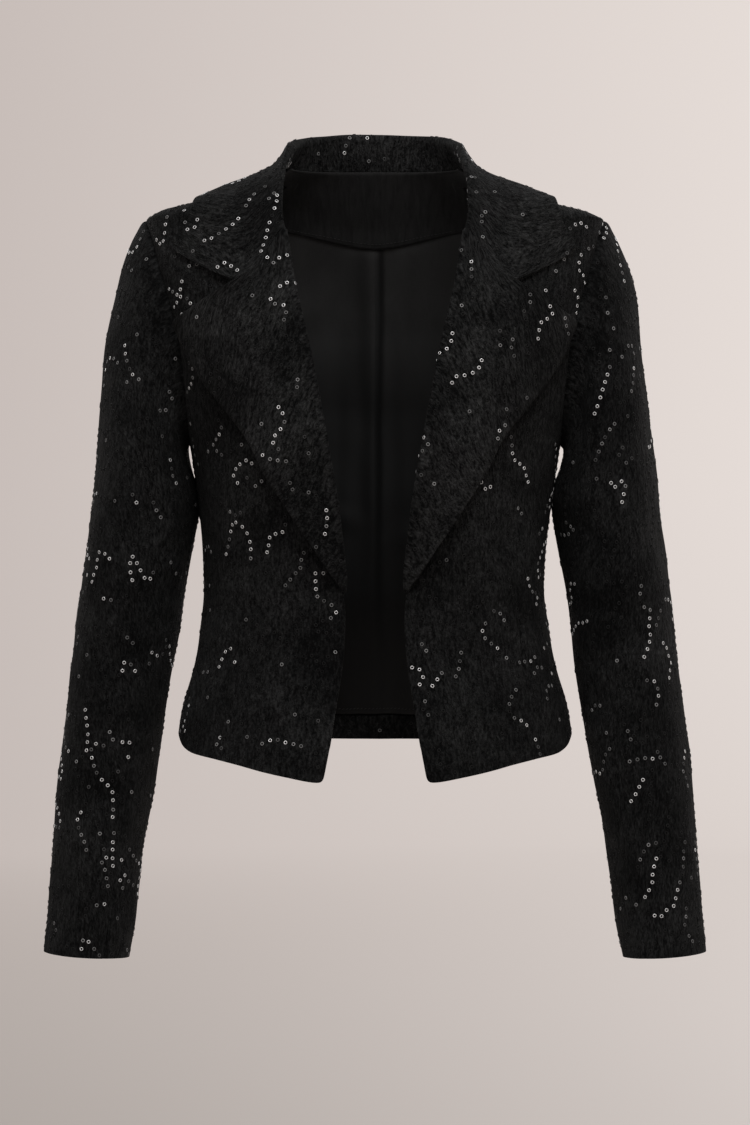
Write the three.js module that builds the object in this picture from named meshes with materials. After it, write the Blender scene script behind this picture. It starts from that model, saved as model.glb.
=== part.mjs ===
// Cropped open-front blazer, worn out to its full form with no wearer.
// Millimetres, +Z up, the front faces -Y. The wearer's left is +X.
// The origin is the middle of the neck opening at the height of the side neck.
import * as THREE from "three";

// Cloth and gaps
const clothHalf = 0.9;
const facingThick = 1.6;
const collarHalf = 1.5;
const liningThick = 1.2;
const seamGap = 0.3;
const layerGap = 0.3;
const facingGap = 0.36;
const hemThick = 1.4;
const foldReach = 1.5;
const mitreLimit = 2.6;
const gorgeEase = 0.35;
const armholeEase = 0.1;
const neckEase = 0.35;
const slantGap = 0.15;
const liningEase = 0.15;

// Levels of the body; the gorge seam and the lining's top lie on the first row above theirs
const neckZ = 0;
const shoulderZ = -49;
const gorgeUnderZ = -62;
const liningUnderZ = -70;
const underarmZ = -235;
const breakZ = -361;
const armholeMidZ = (shoulderZ + underarmZ) / 2;
const armholeTall = (shoulderZ - underarmZ) / 2;
const armholeFront = 54;
const armholeBack = 56;
const turnStep = Math.PI / 12;

// Colours of the photo
const black = 0x1a1a1a;
const satinBlack = 0x151516;

// Half width, depth before and behind the side seam, and squareness of the level sections
const bodySections = [
  { z: -530, half: 178, front: 121, back: 118, square: 2.3 },
  { z: -489, half: 167, front: 116, back: 111, square: 2.3 },
  { z: -461, half: 162.5, front: 112, back: 105, square: 2.3 },
  { z: -427, half: 153.5, front: 107, back: 96, square: 2.3 },
  { z: -393, half: 147.3, front: 104, back: 88, square: 2.3 },
  { z: -361, half: 144, front: 104, back: 84, square: 2.3 },
  { z: -325, half: 145, front: 110, back: 86, square: 2.3 },
  { z: -283, half: 148.8, front: 119, back: 92, square: 2.35 },
  { z: -235, half: 156.5, front: 124, back: 101, square: 2.4 },
  { z: -197, half: 164, front: 121, back: 106, square: 2.5 },
  { z: -142, half: 174.5, front: 111, back: 107, square: 2.75 },
  { z: -112, half: 182, front: 103, back: 103, square: 2.9 },
  { z: -87, half: 189, front: 94, back: 96, square: 2.9 },
  { z: -49, half: 193, front: 77, back: 81, square: 2.9 },
  { z: 0, half: 76, front: 50, back: 52, square: 2.3 },
];

// Squareness on the shoulder slope, so that front and back turn softly over the shoulder
const shoulderSquares = [
  { z: -49, square: 2.9 },
  { z: -43, square: 3.5 },
  { z: -34, square: 3.7 },
  { z: -20, square: 3.2 },
  { z: 0, square: 2.3 },
];

// Distance of the front edge from the middle; it is the roll line above the break
const frontEdge = [
  { z: -530, out: 42.5 },
  { z: -509, out: 40 },
  { z: -464, out: 32.7 },
  { z: -407, out: 25.4 },
  { z: -382, out: 24.5 },
  { z: -346, out: 28 },
  { z: -292, out: 34 },
  { z: -235, out: 43.3 },
  { z: -178, out: 54 },
  { z: -142, out: 61.8 },
  { z: -107, out: 70 },
  { z: -61.5, out: 77.5 },
  { z: -49, out: 80 },
  { z: -30, out: 82 },
  { z: -15, out: 81 },
  { z: 0, out: 76 },
];

// Drop of the hem from the side seam to the front edge
const hemDrop = [
  { out: 0, drop: 29 },
  { out: 45, drop: 27.5 },
  { out: 72, drop: 23 },
  { out: 91, drop: 19 },
  { out: 111, drop: 14 },
  { out: 132, drop: 9 },
  { out: 152, drop: 4.5 },
  { out: 167, drop: 0 },
];
const backHemDrop = 1;

// The waist dart of a front
const dartLine = [
  { z: -489, out: 130 },
  { z: -414, out: 121.5 },
  { z: -350, out: 117.5 },
  { z: -248, out: 125 },
];
const dartTopZ = -248;
const dartBesideMm = 6;
const dartDeep = 1.3;
const panelShare = 0.72;

// Outer edge of the turned lapel, from the break up to its tip
const lapelEdge = [
  { along: 0, x: 26, z: -361 },
  { along: 0.19, x: 61, z: -301 },
  { along: 0.38, x: 86, z: -262 },
  { along: 0.5, x: 98, z: -237 },
  { along: 0.63, x: 118.5, z: -208 },
  { along: 0.76, x: 135, z: -186 },
  { along: 0.9, x: 152, z: -154 },
  { along: 1, x: 160, z: -133 },
];
const notchCorner = { x: 115, z: -104 };

// How far the lapel has turned over at each height above the break
const lapelTurn = [
  { along: 0, turn: 60, lift: 3 },
  { along: 0.1, turn: 120, lift: 11 },
  { along: 0.21, turn: 150, lift: 10.5 },
  { along: 0.31, turn: 172, lift: 8.5 },
  { along: 0.45, turn: 180, lift: 7.5 },
  { along: 1, turn: 180, lift: 10 },
];
const lapelCells = 5;
const cellsToNotch = 3;
const foldCells = 4;
const foldWide = 5;
const gorgeSag = 7;
const gorgeBendPower = 5;
const lapelPuff = 1.2;
const lapelLaidFrom = 0.12;
const lapelLaidRun = 0.3;
const breakNormalShare = 0.7;
const breakNormalLong = 1.25;

// The collar on one half, from the gorge seam (0) over the shoulder (1) to the centre back (2)
const collarStations = [
  { at: 0, roll: [77.5, -80.6, -61.5], middle: [115, -95, -104], edge: [169, -66, -76] },
  { at: 0.125, roll: [78.7, -75.2, -50.2], middle: [113.8, -91.8, -91.5], edge: [165.8, -66, -70] },
  { at: 0.3, roll: [79, -69.5, -42], middle: [112, -87, -72], edge: [161, -66, -61] },
  { at: 0.55, roll: [78, -54, -21], middle: [107, -75, -45], edge: [152.5, -60, -47] },
  { at: 0.8, roll: [73.5, -29, 4], middle: [100, -44, -19], edge: [145, -36, -33] },
  { at: 1, roll: [67, 0, 20], middle: [91, 0, -0.5], edge: [137, 0, -23] },
  { at: 1.35, roll: [56, 25, 28], middle: [76, 37, 2], edge: [112, 48, -20] },
  { at: 1.7, roll: [32, 43, 32], middle: [43, 56, 4], edge: [64, 66, -18] },
  { at: 2, roll: [0, 48.5, 33], middle: [0, 62, 5], edge: [0, 70, -17] },
];
const collarFallCells = 5;
const standCells = 2;
const collarRollRadius = 3.4;
const collarClear = 3.2;
const notchReach = 0.7;

// Sleeve rings below the cap: middle, half width across and half depth
const sleeveRings = [
  { z: -283, midX: 197, wide: 44.5, midY: 2, deep: 62 },
  { z: -330, midX: 202, wide: 44.6, midY: 5, deep: 59.5 },
  { z: -385, midX: 208, wide: 44.6, midY: 6, deep: 57 },
  { z: -430, midX: 213.5, wide: 44, midY: 3, deep: 54.5 },
  { z: -487, midX: 221, wide: 43, midY: -2, deep: 52 },
  { z: -540, midX: 227, wide: 41.3, midY: -8, deep: 49.5 },
  { z: -588, midX: 232.5, wide: 39.5, midY: -14, deep: 47 },
  { z: -632, midX: 238, wide: 37.8, midY: -20, deep: 44.5 },
  { z: -672, midX: 243.3, wide: 36, midY: -26, deep: 42 },
];
const capTopZ = sleeveRings[0].z;
const capShares = [0, 0.045, 0.12, 0.22, 0.35, 0.5, 0.66, 0.83];

// Pull of the sleeve cap's curve as it leaves the armhole and meets the first ring
const capLeave = { topOut: 110, underarmOut: 34, ahead: -25, topUp: -45, underarmUp: -14 };
const capArrive = { topOut: 20, underarmOut: -2, topUp: -230, underarmUp: -50 };
const frontSeamTurn = 4;
const backSeamTurn = 19;
const wholeTurn = 24;

// Soft folds of a sleeve, from one place to another, by turn round the sleeve in degrees and height
const sleeveFolds = [
  { fromTurn: 95, fromZ: -140, toTurn: 38, toZ: -292, deep: 5, wide: 15 },
  { fromTurn: 120, fromZ: -165, toTurn: 70, toZ: -330, deep: 2.6, wide: 16 },
  { fromTurn: 262, fromZ: -140, toTurn: 318, toZ: -300, deep: 4.5, wide: 16 },
  { fromTurn: 232, fromZ: -190, toTurn: 285, toZ: -350, deep: 2.4, wide: 17 },
  { fromTurn: 25, fromZ: -352, toTurn: 118, toZ: -388, deep: 2.8, wide: 14 },
  { fromTurn: 40, fromZ: -420, toTurn: 140, toZ: -398, deep: 2.2, wide: 15 },
  { fromTurn: 225, fromZ: -372, toTurn: 330, toZ: -348, deep: 2.6, wide: 15 },
  { fromTurn: 215, fromZ: -415, toTurn: 325, toZ: -440, deep: 2.2, wide: 15 },
  { fromTurn: 60, fromZ: -520, toTurn: 130, toZ: -560, deep: 1.6, wide: 18 },
  { fromTurn: 240, fromZ: -560, toTurn: 300, toZ: -520, deep: 1.6, wide: 18 },
];
const sleeveRound = 50;

// Soft folds of the body, by distance from the middle (plus is the wearer's left) and height
const frontFolds = [
  { fromOut: 30, fromZ: -372, toOut: 52, toZ: -440, deep: 2.4, wide: 11 },
  { fromOut: 128, fromZ: -300, toOut: 70, toZ: -352, deep: 1.8, wide: 14 },
  { fromOut: 150, fromZ: -395, toOut: 80, toZ: -372, deep: 1.6, wide: 15 },
];
const backFolds = [
  { fromOut: 130, fromZ: -318, toOut: 40, toZ: -348, deep: 2.4, wide: 14 },
  { fromOut: -128, fromZ: -330, toOut: -30, toZ: -372, deep: 2.6, wide: 15 },
  { fromOut: 120, fromZ: -408, toOut: 48, toZ: -385, deep: 1.8, wide: 15 },
  { fromOut: 20, fromZ: -70, toOut: 110, toZ: -160, deep: 1.6, wide: 20 },
  { fromOut: -16, fromZ: -78, toOut: -118, toZ: -150, deep: 1.8, wide: 20 },
];

// Heights of the rows of the body panels below the underarm and above the shoulder point
const lowRows = [-489, -472, -468, -430, -395, -361, -330, -300, -268, -235];
const highRows = [-49, -44.5, -38, -29, -19, -9, 0];
const hemRows = 2;
const hemFade = [1, 0.9, 0.88, 0.45, 0.15, 0];
const backCells = 9;

// Back neck facing: its lower edge
const neckFacingLow = { centreZ: -62, sideZ: -12, power: 1.6 };
const pleatDeep = 3;
const insideInset = 4;
const neckBandTopZ = -2.6;
const topSink = 0.6;

const point = (x, y, z) => new THREE.Vector3(x, y, z);
const mix = (a, b, t) => a + (b - a) * t;

// A smooth curve through one column of a table that never swings past its rows.
function smoothColumn(rows, by, column) {
  const xs = rows.map((row) => row[by]);
  const ys = rows.map((row) => row[column]);
  const last = xs.length - 1;
  const steps = [];
  for (let i = 0; i < last; i += 1) steps.push((ys[i + 1] - ys[i]) / (xs[i + 1] - xs[i]));
  const slopes = ys.map((_, i) => {
    if (i === 0) return steps[0];
    if (i === last) return steps[last - 1];
    if (steps[i - 1] * steps[i] <= 0) return 0;
    return (2 * steps[i - 1] * steps[i]) / (steps[i - 1] + steps[i]);
  });
  return (x) => {
    const held = Math.min(Math.max(x, xs[0]), xs[last]);
    let i = 0;
    while (i < last - 1 && held > xs[i + 1]) i += 1;
    const wide = xs[i + 1] - xs[i];
    const t = (held - xs[i]) / wide;
    const rise = t * t * (3 - 2 * t);
    const startPull = t * (1 - t) * (1 - t) * wide;
    const endPull = t * t * (t - 1) * wide;
    return ys[i] + (ys[i + 1] - ys[i]) * rise + slopes[i] * startPull + slopes[i + 1] * endPull;
  };
}

const shoulderSquare = smoothColumn(shoulderSquares, "z", "square");

// Sections: smooth below the shoulder point, straight on the shoulder slope.
const belowShoulder = bodySections.slice(0, -1);
const shoulderRow = bodySections[bodySections.length - 2];
const neckRow = bodySections[bodySections.length - 1];
const bodyColumns = {};
for (const column of ["half", "front", "back", "square"]) {
  bodyColumns[column] = smoothColumn(belowShoulder, "z", column);
}

function bodyColumn(column, z) {
  if (z <= shoulderZ) return bodyColumns[column](z);
  if (column === "square") return shoulderSquare(z);
  return mix(shoulderRow[column], neckRow[column], (z - shoulderZ) / (neckZ - shoulderZ));
}

const signedPower = (value, power) => Math.sign(value) * Math.abs(value) ** power;

// A point of the plain body form: turn 0 is the centre front, a quarter turn the wearer's left side.
function bodyForm(turn, z) {
  const power = 2 / bodyColumn("square", z);
  const across = Math.sin(turn);
  const ahead = Math.cos(turn);
  const reach = ahead > 0 ? bodyColumn("front", z) : bodyColumn("back", z);
  return point(bodyColumn("half", z) * signedPower(across, power), -reach * signedPower(ahead, power), z);
}

function formNormal(turn, z) {
  const turnBit = 0.004;
  const heightBit = 0.4;
  const high = Math.min(z + heightBit, neckZ);
  const low = high - 2 * heightBit;
  const along = bodyForm(turn + turnBit, z).sub(bodyForm(turn - turnBit, z));
  const up = bodyForm(turn, high).sub(bodyForm(turn, low));
  return along.cross(up).normalize();
}

// Distance of a place from a fold's line, with the fold dying out at its ends.
function foldDepth(across, z, fold) {
  const runAcross = fold.to - fold.from;
  const runUp = fold.toZ - fold.fromZ;
  const run = runAcross * runAcross + runUp * runUp;
  const share = ((across - fold.from) * runAcross + (z - fold.fromZ) * runUp) / run;
  if (share <= 0 || share >= 1) return 0;
  const away = Math.abs((across - fold.from) * runUp - (z - fold.fromZ) * runAcross) / Math.sqrt(run);
  const fade = Math.sin(Math.PI * share) ** 0.7;
  const reach = Math.min(1, away / (foldReach * fold.wide));
  return fold.deep * fade * Math.cos((Math.PI / 2) * reach) ** 2;
}

const bodyFoldList = (rows) =>
  rows.map((row) => ({ ...row, from: row.fromOut, to: row.toOut }));
const frontFoldList = bodyFoldList(frontFolds);
const backFoldList = bodyFoldList(backFolds);

// The body form with its soft folds pressed in.
function bodyPoint(turn, z) {
  const place = bodyForm(turn, z);
  const folds = Math.cos(turn) > 0 ? frontFoldList : backFoldList;
  let deep = 0;
  for (const fold of folds) deep += foldDepth(place.x, z, fold);
  deep *= Math.min(1, Math.abs(Math.cos(turn)) * 3);
  return place.addScaledVector(formNormal(turn, z), -deep);
}

const turnAtOut = (out, z) =>
  Math.asin(Math.min(1, (out / bodyColumn("half", z)) ** (bodyColumn("square", z) / 2)));

// Where the armhole crosses a level, as a turn on the front or the back of the form.
function armholeTurn(z, reach, depthColumn) {
  const share = (z - armholeMidZ) / armholeTall;
  const deep = reach * Math.sqrt(Math.max(0, 1 - share * share));
  return Math.acos((deep / bodyColumn(depthColumn, z)) ** (bodyColumn("square", z) / 2));
}

const levelSlack = 0.01;
const inArmhole = (z) => z > underarmZ + levelSlack && z < shoulderZ - levelSlack;
const quarter = Math.PI / 2;

function outerTurn(z, isFront) {
  if (!inArmhole(z)) return quarter;
  if (isFront) return armholeTurn(z, armholeFront, "front");
  return Math.PI - armholeTurn(z, armholeBack, "back");
}

const frontEdgeOut = smoothColumn(frontEdge, "z", "out");
const hemDropAt = smoothColumn(hemDrop, "out", "drop");
const dartOut = smoothColumn(dartLine, "z", "out");

// All row heights of the body, from the hem to the neck.
const bodyRows = [...lowRows];
for (let i = 1; i < 12; i += 1) bodyRows.push(armholeMidZ - armholeTall * Math.cos(i * turnStep));
bodyRows.push(...highRows);
const breakRow = bodyRows.indexOf(breakZ);
const gorgeRow = bodyRows.findIndex((z) => z > gorgeUnderZ);

// Turns that part a row between two turns at given lengths along it.
function turnsAlong(startTurn, endTurn, z, lengthsOf) {
  const samples = 160;
  const turns = [startTurn];
  const lengths = [0];
  let before = bodyForm(startTurn, z);
  for (let i = 1; i <= samples; i += 1) {
    const turn = mix(startTurn, endTurn, i / samples);
    const here = bodyForm(turn, z);
    turns.push(turn);
    lengths.push(lengths[i - 1] + here.distanceTo(before));
    before = here;
  }
  const whole = lengths[samples];
  const lengthAtOut = (out) => {
    let i = 0;
    while (i < samples && bodyForm(turns[i], z).x < out) i += 1;
    return lengths[i];
  };
  return lengthsOf(whole, lengthAtOut).map((length) => {
    if (length >= whole) return endTurn;
    let i = 0;
    while (i < samples - 1 && lengths[i + 1] < length) i += 1;
    const share = (length - lengths[i]) / Math.max(1e-9, lengths[i + 1] - lengths[i]);
    return mix(turns[i], turns[i + 1], share);
  });
}

const cellsToDart = 5;
const cellsToSide = 3;

// Lengths of the columns of a front: even cells to the dart, the dart, even cells to the side.
function frontLengths(z, whole, lengthAtOut) {
  const plain = whole * panelShare;
  const low = Math.min(lengthAtOut(dartOut(Math.min(z, dartTopZ))), whole - 3 * dartBesideMm);
  const lift = Math.min(1, Math.max(0, (z - underarmZ) / (shoulderZ - underarmZ)));
  const dart = mix(low, plain, z > underarmZ ? Math.sqrt(lift) : 0);
  const beside = Math.min(dartBesideMm, whole * 0.06);
  const list = [];
  for (let i = 0; i < cellsToDart; i += 1) list.push(((dart - beside) * i) / cellsToDart);
  list.push(dart - beside, dart, dart + beside);
  for (let i = 1; i <= cellsToSide; i += 1) list.push(mix(dart + beside, whole, i / cellsToSide));
  return list;
}

// A sheet: points, the direction of its outer face at each point, and cells of four points.
function newSheet() {
  return { points: [], normals: [], inner: [], cells: [] };
}

function addPoint(sheet, place, normal, inner = 1) {
  sheet.points.push(place);
  sheet.normals.push(normal);
  sheet.inner.push(inner);
  return sheet.points.length - 1;
}

// Cells between rows of point numbers; rows run upwards and columns to the right, seen from outside.
function addCells(sheet, rows) {
  for (let r = 0; r + 1 < rows.length; r += 1) {
    for (let c = 0; c + 1 < rows[r].length; c += 1) {
      sheet.cells.push([rows[r][c], rows[r][c + 1], rows[r + 1][c + 1], rows[r + 1][c]]);
    }
  }
}

const hemInner = (r) => (r < hemRows ? (clothHalf + hemThick) / clothHalf : 1);

// Height of a body row at a place, with the hem's drop towards the front edge.
function rowHeight(r, out, isFront) {
  const drop = isFront ? hemDropAt(Math.abs(out)) : backHemDrop;
  return bodyRows[r] - drop * (hemFade[r] ?? 0);
}

function frontTurns(r) {
  const z = bodyRows[r];
  const edgeZ = rowHeight(r, frontEdgeOut(z), true);
  const start = turnAtOut(frontEdgeOut(edgeZ), z);
  return turnsAlong(start, outerTurn(z, true), z, (whole, at) => frontLengths(z, whole, at));
}

// Outline of the turned lapel in the front view.
const lapelX = smoothColumn(lapelEdge, "along", "x");
const lapelZ = smoothColumn(lapelEdge, "along", "z");

function onFront(x, z, lift) {
  const turn = turnAtOut(x, z);
  return {
    place: bodyForm(turn, z).addScaledVector(formNormal(turn, z), lift),
    normal: formNormal(turn, z),
  };
}

const lapelTurnAt = smoothColumn(lapelTurn, "along", "turn");
const lapelLiftAt = smoothColumn(lapelTurn, "along", "lift");

// Points of one lapel row, from the roll line to its edge.
function lapelRow(along, rollX, rollZ, foldEnd) {
  const edge = { x: lapelX(along), z: lapelZ(along) };
  const list = [];
  const notchShare = cellsToNotch / lapelCells;
  const bend = along ** gorgeBendPower;
  const tip = onFront(edge.x, edge.z, lapelLiftAt(along));
  const hold = Math.min(1, Math.max(0, (along - lapelLaidFrom) / lapelLaidRun));
  for (let i = 0; i <= lapelCells; i += 1) {
    const t = i / lapelCells;
    const plain = { x: mix(rollX, edge.x, t), z: mix(rollZ, edge.z, t) };
    const toNotch = Math.min(1, t / notchShare);
    const pastNotch = Math.max(0, (t - notchShare) / (1 - notchShare));
    const bent =
      pastNotch > 0
        ? { x: mix(notchCorner.x, edge.x, pastNotch), z: mix(notchCorner.z, edge.z, pastNotch) }
        : { x: mix(rollX, notchCorner.x, toNotch), z: mix(rollZ, notchCorner.z, toNotch) };
    const sag = bend * gorgeSag * Math.sin(Math.PI * toNotch);
    const lift = mix(foldWide, lapelLiftAt(along), t * t) + lapelPuff * Math.sin(Math.PI * t);
    const laid = onFront(mix(plain.x, bent.x, bend), mix(plain.z, bent.z, bend) - sag, lift).place;
    const straight = foldEnd.clone().lerp(tip.place, t);
    list.push(straight.lerp(laid, hold));
  }
  return list;
}

// The turn at the roll line, from the panel to the turned side.
function foldRow(edge, normal, inwards, whole) {
  const list = [];
  for (let i = 1; i <= foldCells; i += 1) {
    const angle = (whole * i) / foldCells;
    const radius = foldWide / 2;
    const place = edge
      .clone()
      .addScaledVector(normal, radius - radius * Math.cos(angle))
      .addScaledVector(inwards, radius * Math.sin(angle));
    const facing = normal.clone().multiplyScalar(Math.cos(angle)).addScaledVector(inwards, -Math.sin(angle));
    list.push({ place, normal: facing.normalize() });
  }
  return list;
}

// One front with its lapel, on the wearer's left.
function buildFront() {
  const sheet = newSheet();
  const body = [];
  for (let r = 0; r < bodyRows.length; r += 1) {
    const row = [];
    const turns = frontTurns(r);
    const isTop = r === bodyRows.length - 1;
    turns.forEach((turn, c) => {
      if (isTop && c > 0) {
        row.push(row[0]);
        return;
      }
      const z = rowHeight(r, bodyForm(turn, bodyRows[r]).x, true);
      const place = bodyPoint(turn, z);
      const dart = cellsToDart + 1;
      if (c === dart && z < dartTopZ) place.addScaledVector(formNormal(turn, z), -dartDeep);
      row.push(addPoint(sheet, place, formNormal(turn, z), hemInner(r)));
    });
    body.push(row);
  }
  addCells(sheet, body);
  const lapelPlaces = [];
  for (let r = breakRow + 1; r <= gorgeRow; r += 1) {
    const edgeId = body[r][0];
    const edge = sheet.points[edgeId];
    const normal = sheet.normals[edgeId];
    const upwards = sheet.points[body[r + 1][0]].clone().sub(sheet.points[body[r - 1][0]]);
    const inwards = upwards.clone().cross(normal).normalize();
    if (inwards.x > 0) inwards.negate();
    const along = (bodyRows[r] - breakZ) / (bodyRows[gorgeRow] - breakZ);
    const turn = (lapelTurnAt(along) * Math.PI) / 180;
    const fold = foldRow(edge, normal, inwards, turn);
    const fall = lapelRow(along, edge.x, edge.z, fold[fold.length - 1].place);
    lapelPlaces.push({ edgeId, fold, fall });
  }
  const lapelNormals = gridNormals(lapelPlaces.map(({ fall }) => fall));
  const lapel = [new Array(lapelCells + foldCells + 1).fill(body[breakRow][0])];
  lapelPlaces.forEach(({ edgeId, fold, fall }, i) => {
    const row = [];
    for (let c = lapelCells; c >= 1; c -= 1) {
      row.push(addPoint(sheet, fall[c], lapelNormals[i][c]));
    }
    for (const spot of [...fold].reverse()) row.push(addPoint(sheet, spot.place, spot.normal));
    row.push(edgeId);
    lapel.push(row);
  });
  const breakNormal = sheet.normals[body[breakRow][0]];
  breakNormal.multiplyScalar(breakNormalShare).add(point(1, 0, 0)).setLength(breakNormalLong);
  addCells(sheet, lapel);
  return { sheet, body, lapel };
}

// The back, from the wearer's left side to the right.
function buildBack() {
  const sheet = newSheet();
  const rows = [];
  for (let r = 0; r < bodyRows.length; r += 1) {
    const z = bodyRows[r];
    const turns = turnsAlong(outerTurn(z, false), Math.PI, z, (whole) => {
      const list = [];
      for (let i = 0; i <= backCells; i += 1) list.push((whole * i) / backCells);
      return list;
    });
    const both = [...turns, ...turns.slice(0, -1).reverse().map((turn) => 2 * Math.PI - turn)];
    rows.push(
      both.map((turn) => {
        const height = rowHeight(r, 0, false);
        return addPoint(sheet, bodyPoint(turn, height), formNormal(turn, height), hemInner(r));
      })
    );
  }
  addCells(sheet, rows);
  return { sheet, rows };
}

const ringColumns = {};
for (const column of ["midX", "wide", "midY", "deep"]) {
  ringColumns[column] = smoothColumn([...sleeveRings].reverse(), "z", column);
}

const sleeveFoldList = sleeveFolds.map((row) => ({
  ...row,
  from: ((row.fromTurn * Math.PI) / 180) * sleeveRound,
  to: ((row.toTurn * Math.PI) / 180) * sleeveRound,
}));

// A point where the sleeve is sewn in: turn 0 is the underarm, a quarter turn the front.
function armholePoint(turn) {
  const z = armholeMidZ - armholeTall * Math.cos(turn);
  const across = Math.sin(turn);
  if (Math.abs(across) < 1e-6) return bodyPoint(quarter, z);
  return bodyPoint(outerTurn(z, across > 0), z);
}

// A point of the sleeve: share 0 at the armhole, 1 at the first full ring, then the rings.
function sleevePoint(turn, share, z) {
  const cosine = Math.cos(turn);
  const sine = Math.sin(turn);
  const height = share < 1 ? capTopZ : z;
  const ring = point(
    ringColumns.midX(height) - ringColumns.wide(height) * cosine,
    ringColumns.midY(height) - ringColumns.deep(height) * sine,
    height
  );
  if (share >= 1) return ring;
  const start = armholePoint(turn);
  const top = (1 - cosine) / 2;
  const pull = (rule) => [mix(rule.underarmOut, rule.topOut, top), mix(rule.underarmUp, rule.topUp, top)];
  const [leaveOut, leaveUp] = pull(capLeave);
  const [arriveOut, arriveUp] = pull(capArrive);
  const leave = point(leaveOut, capLeave.ahead * sine, leaveUp);
  const arrive = point(arriveOut, 0, arriveUp);
  const t = share;
  return start
    .multiplyScalar((1 + 2 * t) * (1 - t) * (1 - t))
    .addScaledVector(leave, t * (1 - t) * (1 - t))
    .addScaledVector(ring, t * t * (3 - 2 * t))
    .addScaledVector(arrive, t * t * (t - 1));
}

// The whole sleeve on the wearer's left, as rows from the armhole to the cuff.
function sleeveRows() {
  const levels = [];
  for (const share of capShares) levels.push({ share, z: capTopZ });
  for (const ring of sleeveRings) levels.push({ share: 1, z: ring.z });
  const rows = levels.map((level) => {
    const row = [];
    for (let c = 0; c < wholeTurn; c += 1) row.push(sleevePoint(c * turnStep, level.share, level.z));
    return row;
  });
  const normals = rows.map((row, r) =>
    row.map((_, c) => {
      const right = row[(c + 1) % wholeTurn].clone().sub(row[(c + wholeTurn - 1) % wholeTurn]);
      const below = rows[Math.min(r + 1, rows.length - 1)][c];
      const above = rows[Math.max(r - 1, 0)][c];
      return right.cross(above.clone().sub(below)).normalize();
    })
  );
  rows.forEach((row, r) => {
    if (r === 0) return;
    row.forEach((place, c) => {
      let deep = 0;
      for (const fold of sleeveFoldList) deep += foldDepth(c * turnStep * sleeveRound, place.z, fold);
      const ease = Math.min(1, r / 3);
      place.addScaledVector(normals[r][c], -deep * ease);
    });
  });
  return { rows, normals };
}

// One part of the sleeve between two seam turns, with rows turned to run upwards.
function buildSleevePart(whole, startTurn, endTurn) {
  const sheet = newSheet();
  const rows = [];
  for (let r = whole.rows.length - 1; r >= 0; r -= 1) {
    const row = [];
    for (let c = startTurn; c <= endTurn; c += 1) {
      const place = whole.rows[r][c % wholeTurn].clone();
      row.push(addPoint(sheet, place, whole.normals[r][c % wholeTurn].clone()));
    }
    rows.push(row);
  }
  addCells(sheet, rows);
  return { sheet, rows };
}

// How far a place stands off the body form, and the way out.
function standOff(place) {
  const value = (spot) => {
    const z = spot.z;
    const half = Math.max(1, bodyColumn("half", z));
    const reach = Math.max(1, spot.y < 0 ? bodyColumn("front", z) : bodyColumn("back", z));
    const power = bodyColumn("square", z);
    return (Math.abs(spot.x / half) ** power + Math.abs(spot.y / reach) ** power) ** (1 / power) - 1;
  };
  const step = 0.2;
  const slope = (axis) =>
    (value(place.clone().addScaledVector(axis, step)) - value(place.clone().addScaledVector(axis, -step))) /
    (2 * step);
  const way = point(slope(point(1, 0, 0)), slope(point(0, 1, 0)), slope(point(0, 0, 1)));
  const steep = Math.max(1e-6, way.length());
  return { away: value(place) / steep, way: way.normalize() };
}

function liftClear(place, clear) {
  for (let i = 0; i < 4; i += 1) {
    const { away, way } = standOff(place);
    if (away < clear) place.addScaledVector(way, (clear - away) * 0.9);
  }
  return place;
}

const collarLines = {};
for (const line of ["roll", "middle", "edge"]) {
  collarLines[line] = [0, 1, 2].map((axis) => {
    const rows = collarStations.map((row) => ({ at: row.at, place: row[line][axis] }));
    return smoothColumn(rows, "at", "place");
  });
}
const collarSpot = (line, at) => point(...collarLines[line].map((curve) => curve(at)));

// One cross row of the collar: up the stand, over the roll and down the fall.
function collarRow(neckPoint, neckNormal, at) {
  const roll = collarSpot("roll", at);
  const middle = collarSpot("middle", at);
  const edge = collarSpot("edge", at);
  const rise = roll.clone().sub(neckPoint).normalize();
  const outwards = neckNormal.clone().addScaledVector(rise, -neckNormal.dot(rise)).normalize();
  const radius = mix(foldWide / 2, collarRollRadius, Math.min(1, at));
  const base = roll.clone().addScaledVector(rise, -Math.min(radius, roll.distanceTo(neckPoint) * 0.5));
  const list = [neckPoint.clone()];
  for (let i = 1; i < standCells; i += 1) list.push(neckPoint.clone().lerp(base, i / standCells));
  for (let i = 0; i <= foldCells; i += 1) {
    const angle = (Math.PI * i) / foldCells;
    list.push(
      base
        .clone()
        .addScaledVector(outwards, radius - radius * Math.cos(angle))
        .addScaledVector(rise, radius * Math.sin(angle))
    );
  }
  const foldEnd = list[list.length - 1];
  const clear = collarClear + clothHalf + collarHalf;
  const middleShare = cellsToNotch / collarFallCells;
  const toMiddleMm = foldEnd.distanceTo(middle);
  const bowShare = toMiddleMm / (toMiddleMm + middle.distanceTo(edge));
  const bow = middle.clone().sub(foldEnd.clone().lerp(edge, bowShare));
  const round = Math.min(1, at / notchReach);
  for (let i = 1; i <= collarFallCells; i += 1) {
    const t = i / collarFallCells;
    const bend = (t * (1 - t)) / (bowShare * (1 - bowShare));
    const curved = foldEnd.clone().lerp(edge, t).addScaledVector(bow, bend);
    const toMiddle = Math.min(1, t / middleShare);
    const pastMiddle = Math.max(0, (t - middleShare) / (1 - middleShare));
    const cornered = foldEnd.clone().lerp(middle, toMiddle).lerp(edge, pastMiddle);
    cornered.z -= gorgeSag * Math.sin(Math.PI * toMiddle);
    list.push(liftClear(cornered.lerp(curved, round), clear));
  }
  return list;
}

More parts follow.
